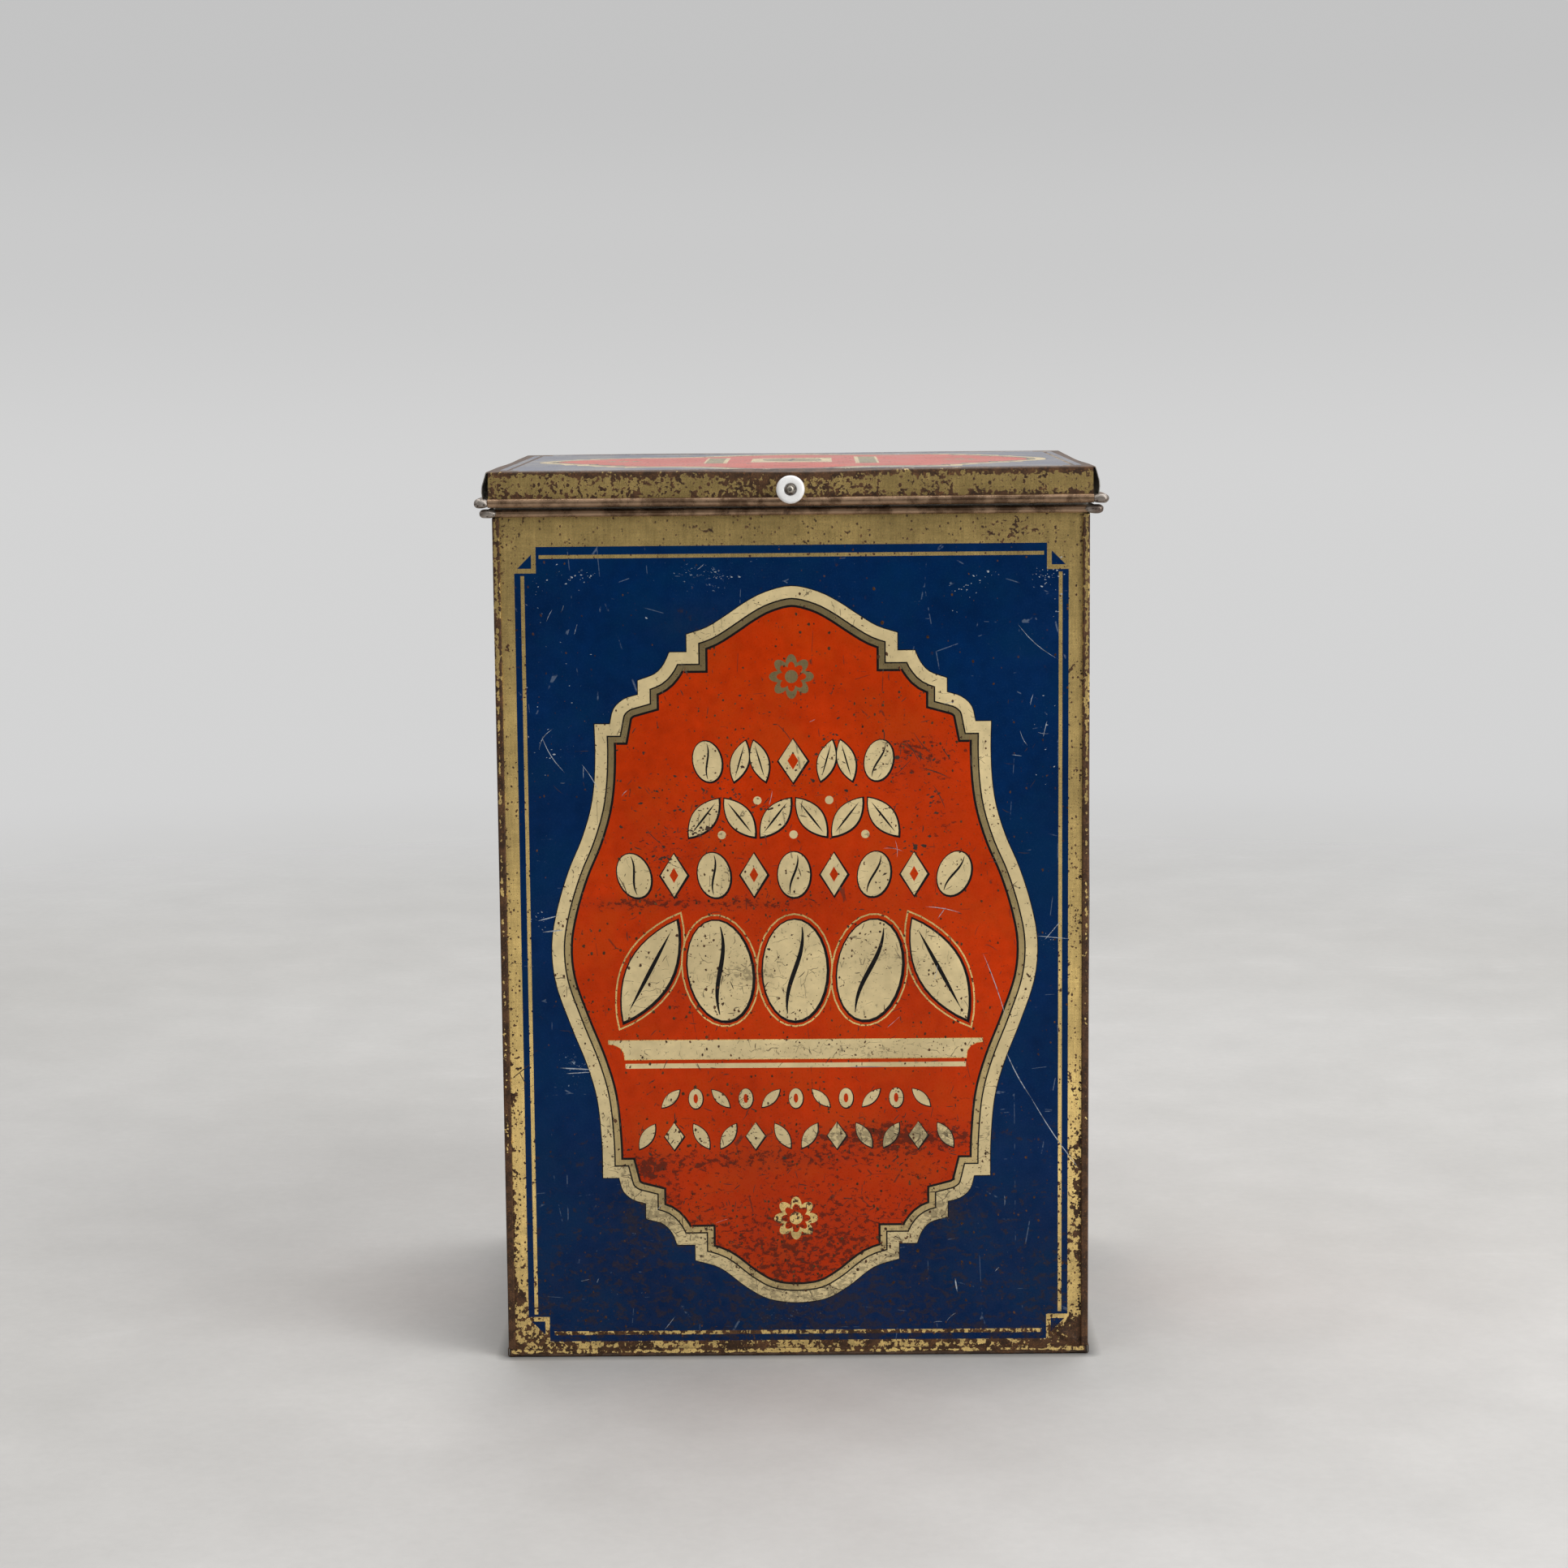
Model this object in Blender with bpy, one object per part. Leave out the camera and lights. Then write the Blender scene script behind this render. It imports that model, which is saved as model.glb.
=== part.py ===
"""Large square shop coffee tin with a hinged, wired lid and a small porcelain lift knob.

Run with: blender --background --python part.py   (metres, +Z up)

The tin is four tinplate wall panels locked together by grooved seams at the corners, a base pan
soldered on from below, a wired (rolled) top rim, an inner collar that the lid closes over, and a
one-piece folded lid whose four skirts also end in wired edges. Two riveted strap hinges join the
lid to the back panel. The frame: origin at the centre of the base's underside, the front faces -Y.
"""

import math

import bmesh
import bpy
from mathutils import Matrix, Vector

# ---------------------------------------------------------------- driving dimensions (metres)
MM = 0.001
WIDTH = 280.0 * MM  # over the side panels' outer faces
DEPTH = 226.0 * MM  # over the front and back panels' outer faces
SHEET = 0.35 * MM  # tinplate
GAP = 0.15 * MM  # solder gap between two layers of tinplate

RIM_Z = 407.6 * MM  # centre of the body's wired rim
RIM_WIRE_R = 1.40 * MM
RIM_BORE_R = 1.55 * MM  # inside radius of the rolled edge
LID_WIRE_Z = 412.55 * MM  # centre of the lid's wired edge
LID_WIRE_R = 1.60 * MM
LID_BORE_R = 1.75 * MM
LID_TOP_Z = 427.5 * MM  # upper face of the lid
LID_TOP_OVER = 2.6 * MM  # how far the lid's top stands out beyond the wall
LID_SKIRT_OVER = 3.6 * MM  # the same at the wired edge, so the skirts flare a little
CURL_SPAN = 305.0  # degrees of roll round each wire

SEAM_WIDTH = 3.3 * MM  # width of the locked seam on the front and back faces
SEAM_Z0 = 4.4 * MM  # the seams are trimmed above the base pan's rim
SEAM_Z1 = 403.6 * MM  # and below the wired rim
BASE_RIM_H = 3.9 * MM
WALL_Z0 = SHEET + GAP

COLLAR_Z0 = 395.0 * MM
COLLAR_Z1 = 426.7 * MM
COLLAR_HEM = 3.0 * MM
COLLAR_CORNER_R = 2.5 * MM

HINGE_Y = DEPTH / 2 + 9.6 * MM
HINGE_Z = 411.0 * MM
HINGE_X = 82.0 * MM  # each hinge's centre, left and right
HINGE_W = 40.0 * MM
HINGE_SHEET = 0.5 * MM
PIN_R = 1.0 * MM
KNUCKLE_BORE_R = 1.08 * MM
KNUCKLE_SPLIT = 10.0 * MM  # half the lid leaf's middle knuckle
KNUCKLE_PLAY = 0.2 * MM
RIVET_X = 11.0 * MM
RIVET_SHANK_R = 0.9 * MM
RIVET_HOLE_R = 1.1 * MM
BODY_RIVET_Z = 389.5 * MM
LID_RIVET_Z = 422.3 * MM

KNOB_Z = 417.6 * MM
KNOB_R = 6.6 * MM
SCREW_R = 1.15 * MM
SCREW_HOLE_R = 1.4 * MM

HW, HD = WIDTH / 2, DEPTH / 2
RIM_ROLL_R = RIM_BORE_R + SHEET / 2
LID_ROLL_R = LID_BORE_R + SHEET / 2
LID_MID_Z = LID_TOP_Z - SHEET / 2  # middle of the lid's top sheet
SKIRT_FALL = LID_MID_Z - LID_WIRE_Z
SKIRT_FLARE = LID_SKIRT_OVER - LID_TOP_OVER
SKIRT_TILT = math.atan2(SKIRT_FLARE, SKIRT_FALL)


# ---------------------------------------------------------------- scene and materials
def clear_scene():
    for obj in list(bpy.data.objects):
        bpy.data.objects.remove(obj, do_unlink=True)


FINISHES = {  # colour, roughness, metallic
    "printed_tin": ((0.004, 0.030, 0.105), 0.38, 0.1),
    "rusty_tin": ((0.085, 0.052, 0.038), 0.62, 0.4),
    "bare_tin": ((0.46, 0.45, 0.42), 0.42, 0.9),
    "iron_wire": ((0.16, 0.13, 0.11), 0.55, 0.8),
    "solder": ((0.55, 0.54, 0.52), 0.38, 0.9),
    "porcelain": ((0.86, 0.86, 0.84), 0.12, 0.0),
    "screw_steel": ((0.50, 0.48, 0.44), 0.32, 1.0),
}


def finish_material(node, finish):
    """The node's own Principled material in one of the finishes above."""
    rgb, roughness, metallic = FINISHES[finish]
    made = bpy.data.materials.new(f"{node}_{finish}")
    made.use_nodes = True
    shader = made.node_tree.nodes["Principled BSDF"]
    shader.inputs["Base Color"].default_value = (*rgb, 1.0)
    shader.inputs["Roughness"].default_value = roughness
    shader.inputs["Metallic"].default_value = metallic
    made.diffuse_color = (*rgb, 1.0)
    return made


# ---------------------------------------------------------------- building blocks
def place(name, mesh, finish, parent=None, location=(0, 0, 0), rotation=(0, 0, 0), smooth=math.radians(40)):
    """A named object with its mesh and its own material. Under a parent, location is still a world point."""
    obj = bpy.data.objects.new(name, mesh)
    bpy.context.scene.collection.objects.link(obj)
    where = Vector(location)
    if parent is not None:
        obj.parent = parent
        where = where - parent.location
    obj.location = where
    obj.rotation_euler = rotation
    if finish is not None:
        mesh.materials.append(finish_material(name, finish))
    if smooth:
        mesh.shade_smooth()
        mesh.set_sharp_from_angle(angle=smooth)
    return obj


def bm_to_mesh(bm, name):
    bmesh.ops.recalc_face_normals(bm, faces=bm.faces)
    mesh = bpy.data.meshes.new(name)
    bm.to_mesh(mesh)
    bm.free()
    return mesh


def arc(centre, radius, start_deg, end_deg, steps):
    """Points on an arc in a plane, from start to end, both ends included."""
    out = []
    for k in range(steps + 1):
        t = math.radians(start_deg + (end_deg - start_deg) * k / steps)
        out.append((centre[0] + radius * math.cos(t), centre[1] + radius * math.sin(t)))
    return out


def offset_line(points, distance):
    """The open polyline moved sideways by distance (positive is to its left), with mitred corners."""
    out = []
    for k, p in enumerate(points):
        p = Vector(p)
        before = (p - Vector(points[k - 1])).normalized() if k > 0 else None
        after = (Vector(points[k + 1]) - p).normalized() if k < len(points) - 1 else None
        n1 = Vector((-before.y, before.x)) if before is not None else None
        n2 = Vector((-after.y, after.x)) if after is not None else None
        if n1 is None or n2 is None:
            out.append(p + (n1 or n2) * distance)
            continue
        bisector = (n1 + n2).normalized()
        out.append(p + bisector * (distance / max(0.25, bisector.dot(n1))))
    return out


def folded_sheet(name, u_line, v_line, thickness, exists, frame):
    """A bent sheet of constant thickness, as a closed mesh.

    u_line is a polyline of (a, n) and v_line of (b, n): the sheet's middle surface bends along
    either one, but never along both in the same cell, and both are flat (n = 0) elsewhere.
    exists(i, j) says which cells of the blank are there. frame is (origin, A, B, N).
    """
    half = thickness / 2
    origin, a_axis, b_axis, n_axis = (Vector(v) for v in frame)
    sides = []
    for s in (half, -half):
        u_off, v_off = offset_line(u_line, s), offset_line(v_line, s)
        sides.append((u_off, v_off, s))
    bm = bmesh.new()
    made = {}

    def vert(i, j, side):
        key = (i, j, side)
        if key not in made:
            u_off, v_off, s = sides[side]
            a, b, n = u_off[i].x, v_off[j].x, u_off[i].y + v_off[j].y - s
            made[key] = bm.verts.new(origin + a_axis * a + b_axis * b + n_axis * n)
        return made[key]

    nu, nv = len(u_line) - 1, len(v_line) - 1
    cells = {(i, j) for i in range(nu) for j in range(nv) if exists(i, j)}
    for i, j in sorted(cells):
        for side in (0, 1):
            ring = [vert(i, j, side), vert(i + 1, j, side), vert(i + 1, j + 1, side), vert(i, j + 1, side)]
            bm.faces.new(ring if side == 0 else ring[::-1])
        for (di, dj), (p, q) in {
            (0, -1): ((0, 0), (1, 0)),
            (1, 0): ((1, 0), (1, 1)),
            (0, 1): ((1, 1), (0, 1)),
            (-1, 0): ((0, 1), (0, 0)),
        }.items():
            if (i + di, j + dj) in cells:
                continue
            p, q = (i + p[0], j + p[1]), (i + q[0], j + q[1])
            bm.faces.new([vert(*q, 0), vert(*p, 0), vert(*p, 1), vert(*q, 1)])
    return bm_to_mesh(bm, name)


def rod(name, radius, length, segments=16, chamfer=0.0):
    """A round bar along its own X, centred on its origin, with slightly chamfered ends."""
    bm = bmesh.new()
    stations = [(-length / 2, radius - chamfer), (length / 2, radius - chamfer)]
    if chamfer:
        stations[1:1] = [(-length / 2 + chamfer, radius), (length / 2 - chamfer, radius)]
    rings = []
    for x, r in stations:
        rings.append(
            [bm.verts.new((x, r * math.cos(2 * math.pi * k / segments), r * math.sin(2 * math.pi * k / segments))) for k in range(segments)]
        )
    for first, second in zip(rings, rings[1:]):
        for k in range(segments):
            m = (k + 1) % segments
            bm.faces.new([first[k], first[m], second[m], second[k]])
    bm.faces.new(rings[0])
    bm.faces.new(rings[-1])
    return bm_to_mesh(bm, name)


def turned(name, profile, segments=24):
    """A closed (radius, height) profile turned about the object's Z. Radius 0 makes a pole."""
    bm = bmesh.new()
    rings = []
    for r, h in profile:
        if r <= 1e-9:
            rings.append([bm.verts.new((0, 0, h))])
        else:
            rings.append(
                [bm.verts.new((r * math.cos(2 * math.pi * k / segments), r * math.sin(2 * math.pi * k / segments), h)) for k in range(segments)]
            )
    pairs = list(zip(rings, rings[1:]))
    if len(rings[0]) > 1 and len(rings[-1]) > 1:
        pairs.append((rings[-1], rings[0]))
    for first, second in pairs:
        for k in range(segments):
            m = (k + 1) % segments
            corners = [first[k % len(first)], first[m % len(first)], second[m % len(second)], second[k % len(second)]]
            unique = []
            for c in corners:
                if c not in unique:
                    unique.append(c)
            if len(unique) > 2:
                bm.faces.new(unique)
    return bm_to_mesh(bm, name)


def blob(name, radii, segments=16, rings=10):
    bm = bmesh.new()
    bmesh.ops.create_uvsphere(bm, u_segments=segments, v_segments=rings, radius=1.0)
    bmesh.ops.scale(bm, vec=Vector(radii), verts=bm.verts)
    return bm_to_mesh(bm, name)


def cutter(name, radius, length, location, rotation):
    """A hidden round cutter along its own Z."""
    mesh = turned(name, [(0, -length / 2), (radius, -length / 2), (radius, length / 2), (0, length / 2)], 20)
    obj = place(name, mesh, None, location=location, rotation=rotation, smooth=None)
    obj.hide_render = True
    obj.display_type = "WIRE"
    return obj


def drill(obj, tool):
    cut = obj.modifiers.new("hole", "BOOLEAN")
    cut.operation = "DIFFERENCE"
    cut.solver = "EXACT"
    cut.object = tool


# ---------------------------------------------------------------- body panels
def rim_profile(top_z, roll_r, z0, hook_z0, hook_z1):
    """(b, n) line of a wall panel from its foot, up the wall and outwards round the rim wire."""
    line = [(z0, 0.0), (hook_z0, 0.0), (hook_z1, 0.0), (top_z, 0.0)]
    roll = [(top_z + roll_r * math.sin(t), roll_r - roll_r * math.cos(t)) for t in (math.radians(CURL_SPAN * k / 18) for k in range(1, 19))]
    return line + roll


def wall_exists(first, last):
    """Cells of a wall panel: everything between the two trim columns, and the seam hooks only between their two rows."""
    return lambda i, j: first <= i < last or j == 1


def blank_with_flaps(mid_u, mid_v):
    """Cells of a flat sheet with a flap on each side. Each flap is trimmed one column short of the corners."""
    flat_u, flat_v = range(mid_u - 1, mid_u + 2), range(mid_v - 1, mid_v + 2)
    return lambda i, j: (i in flat_u and j in flat_v) or i == mid_u or j == mid_v


def build_face_panel(name, front):
    """Front or back panel. Its edges are folded outwards and back, and hook into the side panels."""
    pitch = SHEET + GAP
    edge = HW - SHEET - GAP - SHEET / 2  # the fold, just inside the side panel
    hem_end = HW - SEAM_WIDTH + SHEET / 2 + GAP + SHEET / 2 + 0.05 * MM
    lift = 2 * pitch  # the folded hem lies two layers out from the panel
    trim = HW - 1.4 * MM
    half = [(trim, 0.0), (edge, 0.0), (edge, lift), (hem_end, lift)]
    u_line = [(-a, n) for a, n in reversed(half)] + half
    v_line = rim_profile(RIM_Z, RIM_ROLL_R, WALL_Z0, SEAM_Z0, SEAM_Z1)
    out = -1.0 if front else 1.0
    origin = (0, out * (HD - SHEET / 2), 0)
    mesh = folded_sheet(name, u_line, v_line, SHEET, wall_exists(3, 4), (origin, (1, 0, 0), (0, 0, 1), (0, out, 0)))
    return place(name, mesh, "printed_tin")


def build_side_panel(name, left):
    """Side panel. It wraps the corner, lies on the front of the seam and hooks back under the face panel's hem."""
    pitch = SHEET + GAP
    reach = HD - SHEET / 2 + 3 * pitch  # middle of the outer layer, from the tin's centre plane
    inner = HD - SHEET / 2 + pitch
    fold = HW - SEAM_WIDTH  # middle of the fold that closes the seam
    hook_end = HW - SHEET - GAP - SHEET - GAP
    x_mid = HW - SHEET / 2
    trim = HD - 0.5 * MM
    # (a, n): a runs along the panel (+Y), n is outwards, measured from the panel's own middle
    half = [
        (trim, 0.0),
        (reach, 0.0),
        (reach, fold - x_mid),
        (inner, fold - x_mid),
        (inner, hook_end - x_mid),
    ]
    u_line = [(-a, n) for a, n in reversed(half)] + half
    v_line = rim_profile(RIM_Z, RIM_ROLL_R, WALL_Z0, SEAM_Z0, SEAM_Z1)
    out = -1.0 if left else 1.0
    mesh = folded_sheet(name, u_line, v_line, SHEET, wall_exists(4, 5), ((out * x_mid, 0, 0), (0, 1, 0), (0, 0, 1), (out, 0, 0)))
    return place(name, mesh, "printed_tin")


def build_base_pan(name):
    """The bottom, folded up outside the walls into a low rim and left open at its four corners."""
    rise = BASE_RIM_H - SHEET / 2
    ax, ay = HW + GAP + SHEET / 2, HD + GAP + SHEET / 2
    u_half = [(ax - 1.0 * MM, 0.0), (ax, 0.0), (ax, rise)]
    v_half = [(ay - 0.6 * MM, 0.0), (ay, 0.0), (ay, rise)]
    u_line = [(-a, n) for a, n in reversed(u_half)] + u_half
    v_line = [(-a, n) for a, n in reversed(v_half)] + v_half
    mesh = folded_sheet(name, u_line, v_line, SHEET, blank_with_flaps(2, 2), ((0, 0, SHEET / 2), (1, 0, 0), (0, 1, 0), (0, 0, 1)))
    return place(name, mesh, "rusty_tin")


def build_collar(name):
    """A strip bent into a rectangle, soldered inside the mouth, its top edge hemmed inwards."""
    x0, y0, r = HW - SHEET - 2 * GAP, HD - SHEET - 2 * GAP, COLLAR_CORNER_R
    path = []
    for cx, cy, start in ((x0 - r, y0 - r, 0), (-x0 + r, y0 - r, 90), (-x0 + r, -y0 + r, 180), (x0 - r, -y0 + r, 270)):
        for k in range(5):
            t = math.radians(start + 90 * k / 4)
            path.append((Vector((cx + r * math.cos(t), cy + r * math.sin(t))), Vector((-math.cos(t), -math.sin(t)))))
    # (inset, z) outline of the strip and its hem, which folds inwards and down
    t, g = SHEET, GAP
    top = COLLAR_Z1
    outline = [
        (0, COLLAR_Z0),
        (0, top - 0.1 * MM),
        (0.1 * MM, top),
        (2 * t + g - 0.1 * MM, top),
        (2 * t + g, top - 0.1 * MM),
        (2 * t + g, top - COLLAR_HEM),
        (t + g, top - COLLAR_HEM),
        (t + g, top - t),
        (t, top - t),
        (t, COLLAR_Z0),
    ]
    bm = bmesh.new()
    rings = [[bm.verts.new((p.x + n.x * d, p.y + n.y * d, z)) for d, z in outline] for p, n in path]
    for first, second in zip(rings, rings[1:] + rings[:1]):
        for k in range(len(outline)):
            m = (k + 1) % len(outline)
            bm.faces.new([first[k], first[m], second[m], second[k]])
    return place(name, bm_to_mesh(bm, name), "bare_tin")


def build_rim_wires():
    centre = SHEET / 2 + RIM_ROLL_R - SHEET / 2 - SHEET / 2  # outwards from the wall's outer face
    x, y = HW + centre, HD + centre
    long_x, long_y = 2 * (HW - 1.2 * MM), 2 * (HD - 0.4 * MM)
    for name, at, turn, length in (
        ("rim_wire_front", (0, -y, RIM_Z), 0, long_x),
        ("rim_wire_back", (0, y, RIM_Z), 0, long_x),
        ("rim_wire_left", (-x, 0, RIM_Z), 90, long_y),
        ("rim_wire_right", (x, 0, RIM_Z), 90, long_y),
    ):
        mesh = rod(name, RIM_WIRE_R, length, 16, 0.2 * MM)
        place(name, mesh, "iron_wire", location=at, rotation=(0, 0, math.radians(turn)))


def build_solder(prefix, x, y, z, radii, parent=None):
    for tag, sx, sy in (("front_left", -1, -1), ("front_right", 1, -1), ("back_left", -1, 1), ("back_right", 1, 1)):
        name = f"{prefix}_{tag}"
        place(name, blob(name, radii), "solder", parent, (sx * x, sy * y, z))


# ---------------------------------------------------------------- lid
def skirt_line(half_top):
    """(a, n) from the middle of the top's edge, down the flared skirt and outwards round the wire."""
    a0 = half_top - SHEET / 2
    a1 = a0 + SKIRT_FLARE
    centre = (a1 + LID_ROLL_R, -SKIRT_FALL)
    roll = arc(centre, LID_ROLL_R, 180, 180 + CURL_SPAN, 18)[1:]
    return [(a0, 0.0), (a1, -SKIRT_FALL)] + roll


def build_lid_shell(name, parent):
    x_half = [(HW + LID_TOP_OVER - 1.3 * MM, 0.0)] + skirt_line(HW + LID_TOP_OVER)
    y_half = [(HD + LID_TOP_OVER - 0.7 * MM, 0.0)] + skirt_line(HD + LID_TOP_OVER)
    u_line = [(-a, n) for a, n in reversed(x_half)] + x_half
    v_line = [(-a, n) for a, n in reversed(y_half)] + y_half
    mesh = folded_sheet(
        name,
        u_line,
        v_line,
        SHEET,
        blank_with_flaps(len(x_half) - 1, len(y_half) - 1),
        (Vector((0, 0, LID_MID_Z)) - parent.location, (1, 0, 0), (0, 1, 0), (0, 0, 1)),
    )
    return place(name, mesh, "printed_tin", parent, parent.location)


def lid_bead_centre():
    return LID_TOP_OVER - SHEET / 2 + SKIRT_FLARE + LID_ROLL_R


def build_lid_wires(parent):
    out = lid_bead_centre()
    x, y = HW + out, HD + out
    long_x, long_y = 2 * (HW + LID_TOP_OVER - 0.6 * MM), 2 * (HD + LID_TOP_OVER - 0.6 * MM)
    for name, at, turn, length in (
        ("lid_wire_front", (0, -y, LID_WIRE_Z), 0, long_x),
        ("lid_wire_back", (0, y, LID_WIRE_Z), 0, long_x),
        ("lid_wire_left", (-x, 0, LID_WIRE_Z), 90, long_y),
        ("lid_wire_right", (x, 0, LID_WIRE_Z), 90, long_y),
    ):
        mesh = rod(name, LID_WIRE_R, length, 16, 0.2 * MM)
        place(name, mesh, "iron_wire", parent, at, (0, 0, math.radians(turn)))


def skirt_face(z):
    """How far the skirt's outer face stands out from the wall at height z."""
    share = (LID_MID_Z - z) / SKIRT_FALL
    return LID_TOP_OVER + SKIRT_FLARE * share


# ---------------------------------------------------------------- hinges
def leaf_columns(x):
    half, split = HINGE_W / 2, KNUCKLE_SPLIT
    return [x - half, x - split - KNUCKLE_PLAY, x - split + KNUCKLE_PLAY, x + split - KNUCKLE_PLAY, x + split + KNUCKLE_PLAY, x + half]


def build_hinge(side, x, lid_axis, back_panel, lid_shell):
    roll = KNUCKLE_BORE_R + HINGE_SHEET / 2
    y_in = HINGE_Y - roll  # where both leaves leave the knuckles
    columns = [(c, 0.0) for c in leaf_columns(x)]

    # Body leaf: up the back panel, out and over the rim, and round the pin at its two ends.
    wall = HD + GAP + HINGE_SHEET / 2
    plate = [(wall, 379.5 * MM), (wall, 403.0 * MM), (y_in, 408.7 * MM)]
    knuckle = arc((HINGE_Y, HINGE_Z), roll, 180, -110, 14)
    line = plate + knuckle
    name = f"hinge_{side}_body_leaf"
    mesh = folded_sheet(
        name,
        columns,
        straighten(line),
        HINGE_SHEET,
        lambda i, j: j < 1 or i in (0, 4),
        ((0, 0, 0), (1, 0, 0), (0, 0, 1), (0, 1, 0)),
    )
    body_leaf = place(name, mesh, "bare_tin")

    # Lid leaf: down the skirt, out and round its wired edge, and round the pin in the middle.
    def on_skirt(z):
        return HD + skirt_face(z) + (GAP + HINGE_SHEET / 2) / math.cos(SKIRT_TILT)

    plate = [(on_skirt(426.2 * MM), 426.2 * MM), (on_skirt(417.8 * MM), 417.8 * MM), (y_in, 415.2 * MM)]
    knuckle = arc((HINGE_Y, HINGE_Z), roll, 180, 470, 14)
    name = f"hinge_{side}_lid_leaf"
    mesh = folded_sheet(
        name,
        columns,
        straighten(plate + knuckle),
        HINGE_SHEET,
        lambda i, j: j < 2 or i == 2,
        (-lid_axis.location, (1, 0, 0), (0, 0, 1), (0, 1, 0)),
    )
    lid_leaf = place(name, mesh, "bare_tin", lid_axis, lid_axis.location)

    name = f"hinge_{side}_pin"
    place(name, rod(name, PIN_R, HINGE_W + 1.6 * MM, 16, 0.25 * MM), "iron_wire", None, (x, HINGE_Y, HINGE_Z))

    for k, dx in enumerate((-RIVET_X, RIVET_X), 1):
        # rivets through the body leaf and the back panel, heads outside
        stack = SHEET + GAP + HINGE_SHEET
        name = f"hinge_{side}_body_rivet_{k}"
        at = (x + dx, HD - SHEET, BODY_RIVET_Z)
        turn = (math.radians(-90), 0, 0)
        hole = cutter(f"cut_{name}", RIVET_HOLE_R, 8 * MM, at, turn)
        drill(back_panel, hole)
        drill(body_leaf, hole)
        place(name, rivet(name, stack), "screw_steel", None, at, turn)

        name = f"hinge_{side}_lid_rivet_{k}"
        turn = (math.radians(-90) + SKIRT_TILT, 0, 0)
        at = (x + dx, HD + skirt_face(LID_RIVET_Z) - SHEET / math.cos(SKIRT_TILT), LID_RIVET_Z)
        hole = cutter(f"cut_{name}", RIVET_HOLE_R, 6 * MM, at, turn)
        drill(lid_shell, hole)
        drill(lid_leaf, hole)
        place(name, rivet(name, stack), "screw_steel", lid_axis, at, turn)


def straighten(line):
    """Turns (y, z) points into the (b, n) order that folded_sheet reads, with b along Z and n along Y."""
    return [(z, y) for y, z in line]


def rivet(name, stack):
    """A round-headed rivet along its own Z: a flat tail inside the sheet at 0, its head outside the stack."""
    gap = 0.15 * MM
    h0 = stack + gap
    return turned(
        name,
        [
            (0, -gap - 0.55 * MM),
            (1.05 * MM, -gap - 0.55 * MM),
            (1.35 * MM, -gap - 0.35 * MM),
            (1.35 * MM, -gap),
            (RIVET_SHANK_R, -gap),
            (RIVET_SHANK_R, h0),
            (1.65 * MM, h0),
            (1.60 * MM, h0 + 0.35 * MM),
            (1.25 * MM, h0 + 0.72 * MM),
            (0.70 * MM, h0 + 0.92 * MM),
            (0, h0 + 0.98 * MM),
        ],
        14,
    )


# ---------------------------------------------------------------- knob
def build_knob(parent, lid_shell):
    """Porcelain button knob on the front skirt, held by a round-headed screw, a washer and a square nut."""
    tilt = SKIRT_TILT
    turn = (math.radians(90) - tilt, 0, 0)  # own Z points out of the front skirt
    face = Vector((0, -(HD + skirt_face(KNOB_Z)), KNOB_Z))
    out = Vector((0, -math.cos(tilt), math.sin(tilt)))
    g = 0.15 * MM

    hole = cutter("cut_knob_screw", SCREW_HOLE_R, 6 * MM, face, turn)
    drill(lid_shell, hole)

    profile = [(r * MM, h * MM) for r, h in (
        (1.35, 0.0), (3.1, 0.0), (3.2, 0.5), (2.85, 1.3), (2.75, 2.2), (2.75, 3.6), (2.9, 4.4), (4.0, 4.9),
        (5.3, 5.4), (6.1, 5.9), (6.5, 6.5), (6.6, 7.2), (6.5, 7.9), (6.15, 8.5), (5.5, 8.9), (4.3, 9.0), (3.1, 8.9), (2.8, 8.6), (2.75, 8.0), (1.35, 8.0),
    )]
    place("knob", turned("knob", profile, 28), "porcelain", parent, face + out * g, turn)

    ring = turned("knob_cup_washer", [(1.4 * MM, 0), (2.55 * MM, 0), (2.55 * MM, 0.45 * MM), (2.2 * MM, 0.75 * MM), (1.4 * MM, 0.6 * MM)], 20)
    place("knob_cup_washer", ring, "screw_steel", parent, face + out * (8.0 * MM + 2 * g), turn)

    # the screw's own Z = 0 is the skirt's outer face
    seat = 8.75 * MM + 3 * g
    tail = -(SHEET + 2.65 * MM)
    profile = [
        (0, tail),
        (0.85 * MM, tail),
        (SCREW_R, tail + 0.3 * MM),
        (SCREW_R, seat),
        (1.75 * MM, seat),
        (1.75 * MM, seat + 0.4 * MM),
        (1.45 * MM, seat + 0.95 * MM),
        (0.85 * MM, seat + 1.3 * MM),
        (0, seat + 1.42 * MM),
    ]
    place("knob_screw", turned("knob_screw", profile, 18), "screw_steel", parent, face, turn)

    inside = face - out * (SHEET + g)
    back = (math.radians(-90) - tilt, 0, 0)  # own Z points into the lid
    washer = turned("knob_washer", [(SCREW_HOLE_R, 0), (3.2 * MM, 0), (3.2 * MM, 0.4 * MM), (SCREW_HOLE_R, 0.4 * MM)], 20)
    place("knob_washer", washer, "screw_steel", parent, inside, back)

    nut = square_nut("knob_nut", 5.0 * MM, 1.5 * MM, 1.3 * MM)
    place("knob_nut", nut, "screw_steel", parent, inside - out * (0.4 * MM + g), back)


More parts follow.
